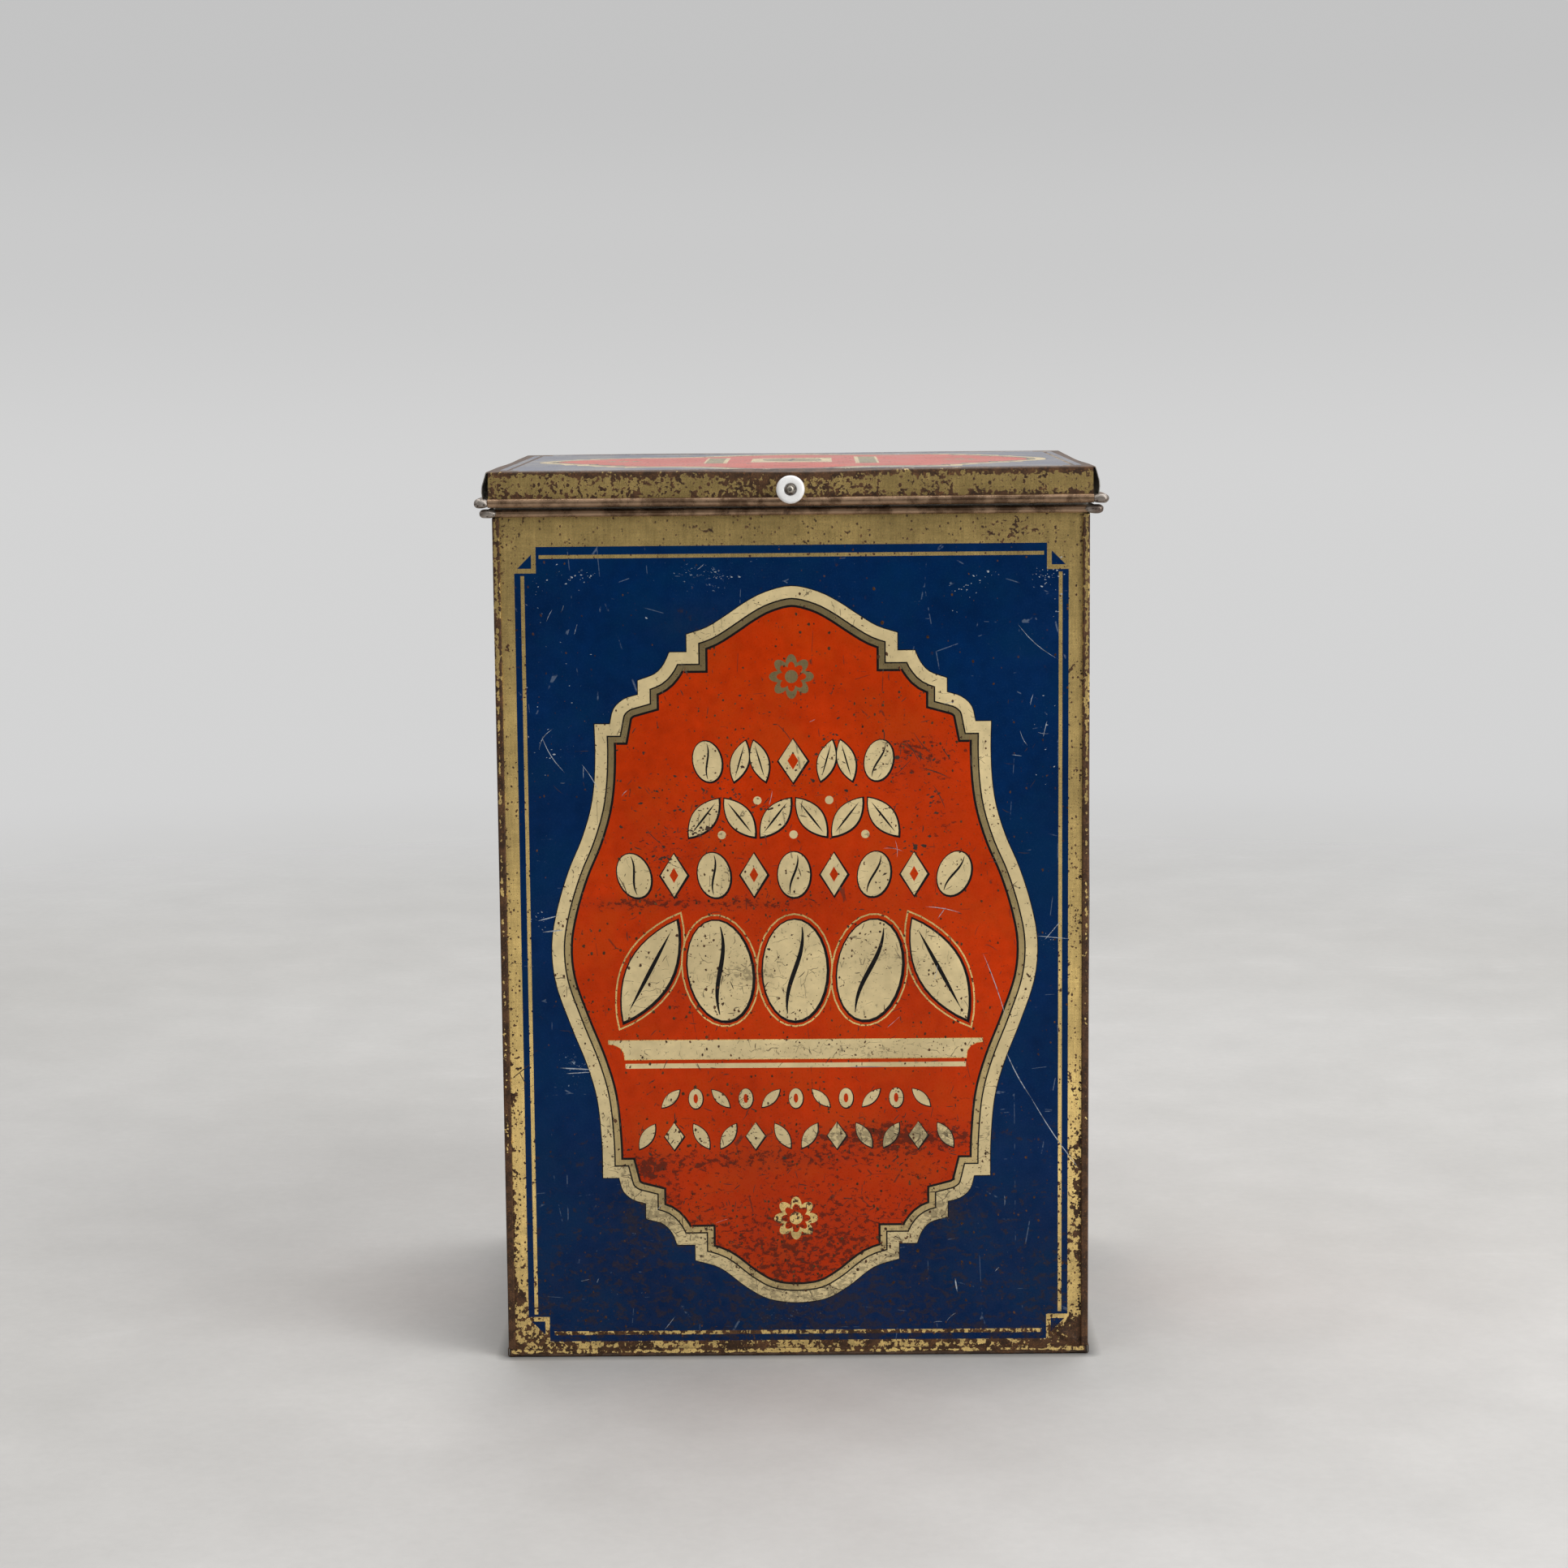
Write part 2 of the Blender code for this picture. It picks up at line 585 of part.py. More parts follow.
def square_nut(name, side, height, bore):
    """A square nut along its own Z with chamfered corners and a round bore."""
    bm = bmesh.new()
    steps = 16
    c = 0.45 * MM
    h = side / 2
    outer = [(h, -h + c), (h, 0), (h, h - c), (h - c, h), (0, h), (-h + c, h), (-h, h - c), (-h, 0), (-h, -h + c), (-h + c, -h), (0, -h), (h - c, -h)]
    steps = len(outer)
    rings = {}
    for z in (0, height):
        rings["out", z] = [bm.verts.new((x, y, z)) for x, y in outer]
        rings["in", z] = [
            bm.verts.new((bore * math.cos(t), bore * math.sin(t), z)) for t in (math.atan2(y, x) for x, y in outer)
        ]
    for k in range(steps):
        m = (k + 1) % steps
        bm.faces.new([rings["out", 0][k], rings["out", 0][m], rings["out", height][m], rings["out", height][k]])
        bm.faces.new([rings["in", 0][m], rings["in", 0][k], rings["in", height][k], rings["in", height][m]])
        bm.faces.new([rings["out", height][k], rings["out", height][m], rings["in", height][m], rings["in", height][k]])
        bm.faces.new([rings["out", 0][m], rings["out", 0][k], rings["in", 0][k], rings["in", 0][m]])
    return bm_to_mesh(bm, name)


# ---------------------------------------------------------------- assembly
def main():
    clear_scene()

    lid_axis = bpy.data.objects.new("lid_hinge_axis", None)
    bpy.context.scene.collection.objects.link(lid_axis)
    lid_axis.location = (0, HINGE_Y, HINGE_Z)

    build_face_panel("front_panel", True)
    back_panel = build_face_panel("back_panel", False)
    build_side_panel("left_panel", True)
    build_side_panel("right_panel", False)
    build_base_pan("base_pan")
    build_collar("inner_collar")
    build_rim_wires()
    build_solder("rim_solder", HW + 2.9 * MM, HD + 2.8 * MM, RIM_Z, (3.5 * MM, 2.9 * MM, 2.25 * MM))

    lid_shell = build_lid_shell("lid_shell", lid_axis)
    build_lid_wires(lid_axis)
    out = lid_bead_centre()
    build_solder("lid_solder", HW + out, HD + out, LID_WIRE_Z, (3.2 * MM, 3.2 * MM, 2.35 * MM), lid_axis)
    build_knob(lid_axis, lid_shell)
    for side, x in (("left", -HINGE_X), ("right", HINGE_X)):
        build_hinge(side, x, lid_axis, back_panel, lid_shell)


main()
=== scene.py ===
import math
import random

import bmesh
import bpy
import numpy as np
from mathutils import Matrix, Vector
from mathutils.geometry import delaunay_2d_cdt


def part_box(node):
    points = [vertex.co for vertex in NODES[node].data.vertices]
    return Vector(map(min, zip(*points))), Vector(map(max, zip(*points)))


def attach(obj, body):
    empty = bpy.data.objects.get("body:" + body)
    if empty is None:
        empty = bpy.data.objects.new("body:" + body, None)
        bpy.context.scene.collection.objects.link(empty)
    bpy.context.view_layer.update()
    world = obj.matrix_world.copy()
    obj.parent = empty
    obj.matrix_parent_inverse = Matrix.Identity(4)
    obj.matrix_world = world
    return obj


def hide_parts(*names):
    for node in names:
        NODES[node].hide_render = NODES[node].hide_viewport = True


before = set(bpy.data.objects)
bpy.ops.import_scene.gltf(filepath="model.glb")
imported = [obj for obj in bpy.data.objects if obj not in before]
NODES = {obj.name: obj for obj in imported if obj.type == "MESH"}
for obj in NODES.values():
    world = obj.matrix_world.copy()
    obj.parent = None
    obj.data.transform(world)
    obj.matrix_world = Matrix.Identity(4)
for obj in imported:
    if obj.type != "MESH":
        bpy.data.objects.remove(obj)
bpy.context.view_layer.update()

MM = 0.001

# ------------------------------------------------------------------ sizes, in millimetres, read from the frame
T = 0.35  # tinplate
GAP = 0.15
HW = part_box("inner_collar")[1].x / MM + T + 2 * GAP
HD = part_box("inner_collar")[1].y / MM + T + 2 * GAP
RIM_Z = sum(p.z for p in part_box("rim_wire_front")) / 2 / MM
LID_WIRE_Z = sum(p.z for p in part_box("lid_wire_front")) / 2 / MM
LID_TOP_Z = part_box("lid_shell")[1].z / MM
RIM_ROLL = 1.55 + T / 2
LID_ROLL = 1.75 + T / 2
CURL = 300.0
SEAM_W = 3.3
SEAM_Z0, SEAM_Z1 = 4.4, 405.2
WALL_Z0 = 0.6
LID_OVER_TOP, LID_OVER_SKIRT = 2.6, 3.6
LID_MID_Z = LID_TOP_Z - T / 2

# ------------------------------------------------------------------ small maths


def smooth(x, lo=0.0, hi=1.0):
    t = np.clip((np.asarray(x, float) - lo) / (hi - lo), 0, 1)
    return t * t * (3 - 2 * t)


def bell(x, width):
    return np.exp(-((np.asarray(x, float) / width) ** 2))


def waves(u, v, seed, length, count=7):
    """A smooth, seeded, wavy height field of about unit size."""
    r = np.random.RandomState(seed)
    out = 0.0
    for _ in range(count):
        a, p = r.uniform(0, 2 * math.pi, 2)
        k = 2 * math.pi / (length * r.uniform(0.7, 1.7))
        out = out + np.sin((u * math.cos(a) + v * math.sin(a)) * k + p)
    return out / math.sqrt(count)


def segment_distance(u, v, a, b):
    ax, ay = a
    dx, dy = b[0] - ax, b[1] - ay
    t = np.clip(((u - ax) * dx + (v - ay) * dy) / (dx * dx + dy * dy), 0, 1)
    return np.hypot(u - ax - t * dx, v - ay - t * dy)


class Path:
    """A line of straight runs and arcs in a plane, read by arc length."""

    def __init__(self, x, y, heading):
        self.runs = []
        self.x, self.y, self.h, self.length = x, y, math.radians(heading), 0.0

    def line(self, length):
        self.runs.append((self.length, length, self.x, self.y, self.h, 0.0))
        self.x += length * math.cos(self.h)
        self.y += length * math.sin(self.h)
        self.length += length
        return self

    def arc(self, radius, degrees):
        """Turns left by that many degrees, or right if negative."""
        turn = math.radians(degrees)
        length = abs(turn) * radius
        k = turn / length
        self.runs.append((self.length, length, self.x, self.y, self.h, k))
        self.x += (math.sin(self.h + turn) - math.sin(self.h)) / k
        self.y += (math.cos(self.h) - math.cos(self.h + turn)) / k
        self.h += turn
        self.length += length
        return self

    def at(self, s):
        s = np.asarray(s, float)
        x, y = np.zeros_like(s), np.zeros_like(s)
        last = len(self.runs) - 1
        for n, (start, length, x0, y0, h, k) in enumerate(self.runs):
            here = (s >= start if n else s > -1e9) & (s < start + length if n < last else s < 1e9)
            d = s[here] - start
            if k == 0:
                x[here], y[here] = x0 + d * math.cos(h), y0 + d * math.sin(h)
            else:
                x[here] = x0 + (np.sin(h + k * d) - math.sin(h)) / k
                y[here] = y0 + (math.cos(h) - np.cos(h + k * d)) / k
        return x, y


def subdivide(corners, step, stops_u=(), stops_v=()):
    """A closed outline with points no further apart than step, and at every stop that an axis-aligned edge passes."""
    out = []
    for (ax, ay), (bx, by) in zip(corners, corners[1:] + corners[:1]):
        ts = {0.0}
        length = math.hypot(bx - ax, by - ay)
        stops = stops_u if abs(by - ay) < 1e-9 else stops_v if abs(bx - ax) < 1e-9 else ()
        a, b = (ax, bx) if abs(by - ay) < 1e-9 else (ay, by)
        for s in stops:
            t = (s - a) / (b - a)
            if 1e-6 < t < 1 - 1e-6:
                ts.add(t)
        marks = sorted(ts) + [1.0]
        for t0, t1 in zip(marks, marks[1:]):
            n = max(1, math.ceil((t1 - t0) * length / step - 1e-6))
            for k in range(n):
                t = t0 + (t1 - t0) * k / n
                out.append((ax + (bx - ax) * t, ay + (by - ay) * t))
    return out


def inside(points, outline, margin=0.0):
    """Which points lie inside the outline and at least margin away from it."""
    px, py = np.array([p[0] for p in points]), np.array([p[1] for p in points])
    hit = np.zeros(len(points), bool)
    near = np.full(len(points), 1e9)
    for (ax, ay), (bx, by) in zip(outline, outline[1:] + outline[:1]):
        crosses = (ay > py) != (by > py)
        with np.errstate(divide="ignore", invalid="ignore"):
            where = (bx - ax) * (py - ay) / (by - ay) + ax
        hit ^= crosses & (px < where)
        if (ax, ay) != (bx, by):
            near = np.minimum(near, segment_distance(px, py, (ax, ay), (bx, by)))
    return hit & (near > margin)


def offset_polygon(points, distance):
    """The closed polygon moved inwards (it runs counter-clockwise) with mitred corners."""
    out = []
    n = len(points)
    for k in range(n):
        p, a, b = Vector(points[k]), Vector(points[k - 1]), Vector(points[(k + 1) % n])
        d1, d2 = (p - a).normalized(), (b - p).normalized()
        n1, n2 = Vector((-d1.y, d1.x)), Vector((-d2.y, d2.x))
        m = (n1 + n2).normalized()
        out.append(tuple(p + m * (distance / max(0.35, m.dot(n1)))))
    return out


def catmull(points, step=3.0, before=None, after=None):
    """A smooth curve through the points, both ends included. before and after are the next points beyond the ends."""
    pts = [Vector(p) for p in points]
    pts = [Vector(before) if before else pts[0] * 2 - pts[1]] + pts + [Vector(after) if after else pts[-1] * 2 - pts[-2]]
    out = []
    for k in range(1, len(pts) - 2):
        p0, p1, p2, p3 = pts[k - 1 : k + 3]
        n = max(2, int((p2 - p1).length / step))
        for j in range(n):
            t = j / n
            out.append(
                tuple(
                    0.5
                    * (
                        2 * p1
                        + (p2 - p0) * t
                        + (2 * p0 - 5 * p1 + 4 * p2 - p3) * t * t
                        + (3 * p1 - p0 - 3 * p2 + p3) * t**3
                    )
                )
            )
    return out + [tuple(pts[-2])]


# ------------------------------------------------------------------ node-based materials


class Tree:
    """Short names for building a material's nodes. Every method returns an output socket."""

    def __init__(self, material):
        material.use_nodes = True
        self.tree = material.node_tree
        self.shader = self.tree.nodes["Principled BSDF"]

    def put(self, value, socket):
        if isinstance(value, bpy.types.NodeSocket):
            self.tree.links.new(value, socket)
        elif value is not None:
            if hasattr(socket.default_value, "__len__") and not hasattr(value, "__len__"):
                value = [value] * len(socket.default_value)
            if hasattr(value, "__len__") and len(value) == 3 and len(socket.default_value) == 4:
                value = (*value, 1.0)
            socket.default_value = value

    def node(self, kind, **props):
        made = self.tree.nodes.new(kind)
        for k, v in props.items():
            setattr(made, k, v)
        return made

    def coords(self):
        return self.node("ShaderNodeTexCoord").outputs["Object"]

    def attribute(self, name):
        return self.node("ShaderNodeAttribute", attribute_name=name, attribute_type="GEOMETRY").outputs["Fac"]

    def math(self, operation, a, b=None, c=None, clamp=False):
        made = self.node("ShaderNodeMath", operation=operation, use_clamp=clamp)
        for value, socket in zip((a, b, c), made.inputs):
            self.put(value, socket)
        return made.outputs[0]

    def mul(self, a, b):
        return self.math("MULTIPLY", a, b)

    def add(self, a, b):
        return self.math("ADD", a, b)

    def sub(self, a, b):
        return self.math("SUBTRACT", a, b)

    def big(self, *values):
        out = values[0]
        for v in values[1:]:
            out = self.math("MAXIMUM", out, v)
        return out

    def step(self, x, lo, hi):
        made = self.node("ShaderNodeMapRange", interpolation_type="SMOOTHSTEP", clamp=True)
        for value, key in ((x, "Value"), (lo, "From Min"), (hi, "From Max")):
            self.put(value, made.inputs[key])
        return made.outputs[0]

    def remap(self, x, lo, hi, to_lo, to_hi):
        made = self.node("ShaderNodeMapRange", clamp=True)
        for value, key in ((x, "Value"), (lo, "From Min"), (hi, "From Max"), (to_lo, "To Min"), (to_hi, "To Max")):
            self.put(value, made.inputs[key])
        return made.outputs[0]

    def stretch(self, vector, scale, rotation=(0, 0, 0), location=(0, 0, 0)):
        made = self.node("ShaderNodeMapping")
        self.put(vector, made.inputs["Vector"])
        made.inputs["Scale"].default_value = scale
        made.inputs["Rotation"].default_value = [math.radians(a) for a in rotation]
        made.inputs["Location"].default_value = location
        return made.outputs[0]

    def noise(self, vector, scale, detail=3.0, roughness=0.5, distortion=0.0):
        made = self.node("ShaderNodeTexNoise")
        self.put(vector, made.inputs["Vector"])
        for key, value in (("Scale", scale), ("Detail", detail), ("Roughness", roughness), ("Distortion", distortion)):
            made.inputs[key].default_value = value
        return made.outputs["Fac"]

    def cells(self, vector, scale, feature="F1"):
        made = self.node("ShaderNodeTexVoronoi", feature=feature)
        self.put(vector, made.inputs["Vector"])
        made.inputs["Scale"].default_value = scale
        if feature == "DISTANCE_TO_EDGE":
            return made.outputs["Distance"]
        split = self.node("ShaderNodeSeparateColor")
        self.put(made.outputs["Color"], split.inputs[0])
        return made.outputs["Distance"], split.outputs[0], split.outputs[1]

    def wobble(self, vector, scale, amount):
        """The coordinates pushed about by a noise, to break up round shapes."""
        made = self.node("ShaderNodeTexNoise")
        self.put(vector, made.inputs["Vector"])
        made.inputs["Scale"].default_value = scale
        made.inputs["Detail"].default_value = 2.0
        centre = self.node("ShaderNodeVectorMath", operation="SUBTRACT")
        self.put(made.outputs["Color"], centre.inputs[0])
        centre.inputs[1].default_value = (0.5, 0.5, 0.5)
        scaled = self.node("ShaderNodeVectorMath", operation="SCALE")
        self.put(centre.outputs[0], scaled.inputs[0])
        scaled.inputs["Scale"].default_value = amount
        added = self.node("ShaderNodeVectorMath", operation="ADD")
        self.put(vector, added.inputs[0])
        self.put(scaled.outputs[0], added.inputs[1])
        return added.outputs[0]

    def mix(self, factor, a, b, blend="MIX"):
        made = self.node("ShaderNodeMix", data_type="RGBA", blend_type=blend)
        self.put(factor, made.inputs["Factor"])
        for value, name in ((a, "A"), (b, "B")):
            socket = [s for s in made.inputs if s.name == name and s.type == "RGBA"][0]
            self.put(value, socket)
        return [s for s in made.outputs if s.type == "RGBA"][0]

    def tone(self, colour, factor):
        """The colour times a varying grey factor."""
        made = self.node("ShaderNodeVectorMath", operation="SCALE")
        self.put(colour, made.inputs[0])
        self.put(factor, made.inputs["Scale"])
        return made.outputs[0]

    def bump(self, height, strength, distance):
        made = self.node("ShaderNodeBump")
        made.inputs["Strength"].default_value = strength
        made.inputs["Distance"].default_value = distance
        self.put(height, made.inputs["Height"])
        return made.outputs[0]

    def out(self, colour, roughness, metallic=0.0, normal=None, specular=0.5, coat=0.0, coat_roughness=0.1):
        for value, key in ((colour, "Base Color"), (roughness, "Roughness"), (metallic, "Metallic"), (normal, "Normal")):
            self.put(value, self.shader.inputs[key])
        self.shader.inputs["Specular IOR Level"].default_value = specular
        self.shader.inputs["Coat Weight"].default_value = coat
        self.shader.inputs["Coat Roughness"].default_value = coat_roughness


RUST_DARK, RUST_MID, RUST_WARM = (0.038, 0.018, 0.008), (0.094, 0.044, 0.019), (0.21, 0.085, 0.026)


def rust_colour(t, p):
    patches = t.noise(p, 190, 4, 0.6)
    grains = t.noise(p, 1500, 2, 0.6)
    base = t.mix(t.step(patches, 0.38, 0.64), RUST_DARK, RUST_MID)
    base = t.mix(t.mul(t.step(grains, 0.56, 0.70), 0.55), base, RUST_WARM)
    return t.tone(base, t.remap(grains, 0.25, 0.75, 0.75, 1.3))


def printed(name, rgb, roughness=0.4, metallic=0.0, specular=0.3, rust=1.0, flake=(0.5, 0.5, 0.48), flakes=1.0, linen=0.0, hair=0.5, cracks=0.0, mottle=0.5, tint=None, specks=0.5, tarnish_and_shade=None, stain_rgb=(0.017, 0.012, 0.009), stain_scale=150, dirt=1.0):
    """Lithographed ink on tinplate: tone, grain, rust freckles that grow into patches, flakes, hairlines and grime, all in
    one space, so that the wear runs on across the borders between inks."""
    material = bpy.data.materials.new(name)
    t = Tree(material)
    p = t.coords()
    rust_at, chip_at, grime_at = t.attribute("rust"), t.attribute("chip"), t.attribute("grime")
    broad, middle, fine = t.noise(p, 24, 3), t.noise(p, 170, 4, 0.55), t.noise(p, 1100, 3, 0.6)

    colour = t.tone(rgb, t.mul(t.remap(broad, 0.3, 0.7, 0.86, 1.12), t.remap(middle, 0.3, 0.7, 0.87, 1.12)))
    if tint:
        colour = t.mix(t.mul(t.step(t.noise(p, 38, 5, 0.62), 0.42, 0.68), 0.6), colour, tint)
    if tarnish_and_shade:
        # tarnish and painted shade: darker up under the lid's overhang, cleaner and lighter lower down; heights in
        # metres
        split = t.node("ShaderNodeSeparateXYZ")
        t.put(p, split.inputs[0])
        colour = t.tone(colour, t.remap(split.outputs["Z"], tarnish_and_shade[0], tarnish_and_shade[1], 1.0, tarnish_and_shade[2]))
    if linen:
        warp = t.noise(t.stretch(p, (1500, 1500, 60)), 1.0, 2, 0.6)
        weft = t.noise(t.stretch(p, (60, 60, 1300), (0, 0, 0), (7.0, 3.0, 1.0)), 1.0, 2, 0.6)
        cloth = t.mul(t.remap(warp, 0.28, 0.72, 1 - linen, 1 + linen), t.remap(weft, 0.28, 0.72, 1 - linen * 0.6, 1 + linen * 0.6))
        blotch = t.remap(t.noise(p, 110, 5, 0.7), 0.3, 0.7, 1 - linen * 0.9, 1 + linen * 0.8)
        colour = t.tone(colour, t.mul(cloth, blotch))

    # rust: one ragged field whose threshold falls as the amount rises, so freckles grow and run together
    gather = t.remap(t.noise(t.stretch(p, (1, 1, 1), (0, 0, 0), (0.7, 0.2, 0.9)), 85, 4, 0.6), 0.34, 0.66, 0.62, 1.34)
    amount = t.mul(t.mul(rust_at, gather), rust)
    field = t.noise(t.wobble(p, 900, 0.0006), 500, 3, 0.52)
    coarse = t.noise(p, 230, 4, 0.62)
    field = t.add(t.mul(field, 0.82), t.mul(coarse, 0.18))
    limit = t.sub(0.778, t.mul(amount, 0.385))
    blotches = t.step(t.sub(field, limit), -0.004, 0.010)
    # round freckles of two sizes: one random number says whether a cell has one, the other how big it is
    freckles = []
    for scale, share, least, most, at in ((470, 1.05, 0.10, 0.36, (0, 0, 0)), (980, 0.62, 0.10, 0.30, (0.41, 0.13, 0.27))):
        d, r, size = t.cells(t.wobble(t.stretch(p, (1.1, 1.1, 0.9), (0, 0, 0), at), scale * 2.2, 0.35 / scale), scale)
        present = t.step(t.sub(t.mul(amount, specks * share), r), 0.0, 0.02)
        freckles.append(t.mul(present, t.step(t.sub(t.add(least, t.mul(t.mul(size, size), most)), d), -0.03, 0.03)))
    rusty = t.math("MINIMUM", t.big(blotches, *freckles), 1.0)

    # flakes of missing ink, wider than tall
    crumbs = t.noise(t.wobble(t.stretch(p, (1, 1, 2.0)), 300, 0.0016), 430, 6, 0.74)
    flaked = t.mul(t.step(t.sub(t.add(crumbs, t.mul(chip_at, 0.17)), 0.735), 0.0, 0.014), flakes)

    # hairlines: short stretches of two slanting cell nets
    net1 = t.cells(t.stretch(p, (46, 46, 9), (0, 28, 0)), 1.0, "DISTANCE_TO_EDGE")
    net2 = t.cells(t.stretch(p, (12, 12, 52), (0, 17, 0), (0.3, 0.1, 0.2)), 1.0, "DISTANCE_TO_EDGE")
    broken = t.step(t.noise(p, 95, 4, 0.6), 0.57, 0.62)
    broken2 = t.step(t.noise(t.stretch(p, (1, 1, 1), (0, 0, 0), (3.1, 1.7, 0.4)), 95, 4, 0.6), 0.60, 0.65)
    hairs = t.big(t.mul(t.step(t.sub(0.0055, net1), -0.002, 0.001), broken), t.mul(t.step(t.sub(0.0050, net2), -0.002, 0.001), broken2))
    marks = t.big(flaked, t.mul(hairs, hair))
    colour = t.mix(t.mul(marks, 0.85), colour, t.tone(flake, t.remap(fine, 0.3, 0.7, 0.65, 1.2)))
    if cracks:
        crazed = t.wobble(p, 130, 0.005)
        web = t.cells(t.stretch(crazed, (62, 62, 170), (0, 24, 0)), 1.0, "DISTANCE_TO_EDGE")
        web2 = t.cells(t.stretch(crazed, (160, 160, 60), (0, -14, 0), (0.2, 0.4, 0.6)), 1.0, "DISTANCE_TO_EDGE")
        torn = t.noise(p, 170, 5, 0.7)
        where = t.step(t.add(torn, t.mul(grime_at, 0.16)), 0.555, 0.60)
        where2 = t.step(t.sub(t.mul(grime_at, 0.14), torn), -0.43, -0.39)
        lines = t.big(t.mul(t.step(t.sub(0.0095, web), -0.005, 0.002), where), t.mul(t.step(t.sub(0.0090, web2), -0.005, 0.002), where2))
        colour = t.mix(t.mul(lines, cracks), colour, (0.045, 0.032, 0.020))
        marks = t.big(marks, t.mul(lines, cracks))

    # dark stains, and a general film of dirt
    stain = t.noise(t.stretch(p, (1.0, 1.0, 1.45)), stain_scale, 7, 0.72, 0.3)
    stained = t.mul(t.step(t.sub(t.add(stain, t.mul(grime_at, 0.26)), 0.665), 0.0, 0.05), mottle)
    colour = t.mix(stained, colour, t.tone(stain_rgb, t.remap(fine, 0.3, 0.7, 0.6, 1.5)))
    film = t.mul(t.mul(grime_at, t.remap(middle, 0.3, 0.7, 0.2, 1.1)), 0.42 * dirt)
    colour = t.mix(film, colour, (0.030, 0.023, 0.016))
    colour = t.mix(rusty, colour, rust_colour(t, p))

    rough = t.math("ADD", t.remap(fine, 0.3, 0.7, roughness - 0.05, roughness + 0.06), t.mul(rusty, 0.26), clamp=True)
    rough = t.math("ADD", rough, t.mul(t.big(stained, film), 0.15), clamp=True)
    metal = t.mul(t.sub(1.0, t.mul(t.big(rusty, stained), 0.95)), metallic) if metallic else 0.0
    height = t.add(t.mul(rusty, 0.55), t.mul(fine, 0.12))
    height = t.sub(height, t.mul(marks, 0.35))
    t.out(colour, rough, metal, t.bump(height, 0.55, 0.00016), specular)
    return material


def bare_line(name, rgb, metallic, roughness):
    """Where a scratch has gone through the ink."""
    material = bpy.data.materials.new(name)
    t = Tree(material)
    p = t.coords()
    grain, gaps = t.noise(p, 1300, 3, 0.6), t.noise(p, 420, 4, 0.65)
    colour = t.tone(rgb, t.remap(grain, 0.3, 0.7, 0.7, 1.2))
    colour = t.mix(t.mul(t.step(gaps, 0.50, 0.60), 0.75), colour, [c * 0.22 for c in rgb])
    t.out(colour, t.remap(grain, 0.3, 0.7, roughness - 0.08, roughness + 0.1), metallic, t.bump(grain, 0.4, 0.0001), 0.4)
    return material


def plain_metal(name, light, dark, roughness, metallic, rust=0.0, rust_scale=150, brushed=None, specular=0.5, spots=(0.03, 0.022, 0.018), spotty=0.5):
    """Unprinted metal: two tones, fine grain, dark specks and optional rust."""
    material = bpy.data.materials.new(name)
    t = Tree(material)
    p = t.coords()
    broad, fine = t.noise(p, 90, 4, 0.6), t.noise(p, 1600, 3, 0.6)
    colour = t.mix(t.step(broad, 0.36, 0.64), dark, light)
    if brushed:
        grain = t.noise(t.stretch(p, brushed), 1.0, 3, 0.6)
        colour = t.tone(colour, t.remap(grain, 0.3, 0.7, 0.84, 1.14))
    colour = t.tone(colour, t.remap(fine, 0.3, 0.7, 0.88, 1.1))
    d, r, _ = t.cells(t.wobble(p, 500, 0.001), 700)
    specks = t.mul(t.step(t.sub(t.mul(r, spotty * 0.45), d), -0.03, 0.03), 0.8)
    colour = t.mix(specks, colour, spots)
    rough = t.remap(broad, 0.3, 0.7, roughness - 0.06, roughness + 0.1)
    height = t.mul(fine, 0.3)
    metal = metallic
    if rust:
        ragged = t.noise(p, rust_scale, 7, 0.66, 0.4)
        rusty = t.step(ragged, 0.66 - 0.3 * rust, 0.74 - 0.3 * rust)
        colour = t.mix(rusty, colour, rust_colour(t, p))
        rough = t.math("ADD", rough, t.mul(rusty, 0.25), clamp=True)
        metal = t.mul(t.sub(1.0, t.mul(rusty, 0.85)), metallic)
        height = t.add(height, t.mul(rusty, 0.5))
    t.out(colour, rough, metal, t.bump(height, 0.5, 0.00015), specular)
    return material


# the gold and the olive darken towards the top: partly tarnish, partly painted shade under the lid's overhang
INKS = {
    "gold": dict(rgb=(1.0, 0.710, 0.262), roughness=0.27, metallic=0.60, specular=0.3, rust=1.0, flake=(0.20, 0.15, 0.09), flakes=0.35, linen=0.14, hair=0.2, mottle=0.25, tint=(0.86, 0.615, 0.230), specks=0.80, tarnish_and_shade=(0.100, 0.400, 0.56)),
    "blue": dict(rgb=(0.0, 0.0185, 0.082), roughness=0.25, metallic=0.0, specular=0.075, rust=0.34, flake=(0.30, 0.37, 0.46), flakes=0.95, hair=0.35, mottle=0.54, tint=(0.0, 0.025, 0.084), specks=0.35, stain_rgb=(0.034, 0.022, 0.017), stain_scale=205),
    "cream": dict(rgb=(0.72, 0.575, 0.305), roughness=0.34, metallic=0.0, specular=0.25, rust=0.72, flake=(0.115, 0.085, 0.055), flakes=0.9, hair=0.7, cracks=0.75, mottle=0.42, tint=(0.58, 0.455, 0.235), specks=0.50, stain_scale=300, dirt=0.5),
    "olive": dict(rgb=(0.70, 0.53, 0.245), roughness=0.31, metallic=0.68, tarnish_and_shade=(0.060, 0.340, 0.46), specular=0.3, rust=0.85, flake=(0.15, 0.11, 0.07), flakes=0.4, linen=0.08, hair=0.3, mottle=0.3, specks=0.5, dirt=0.6),
    "dark": dict(rgb=(0.006, 0.006, 0.007), roughness=0.32, metallic=0.0, specular=0.15, rust=0.4, flake=(0.3, 0.25, 0.2), flakes=0.3, hair=0.3, specks=0.3),
    "red": dict(rgb=(0.530, 0.034, 0.0005), roughness=0.28, metallic=0.0, specular=0.105, rust=0.46, flake=(0.085, 0.030, 0.018), flakes=1.0, hair=0.8, mottle=0.72, tint=(0.52, 0.050, 0.002), specks=0.78, stain_rgb=(0.030, 0.012, 0.008), stain_scale=330),
}
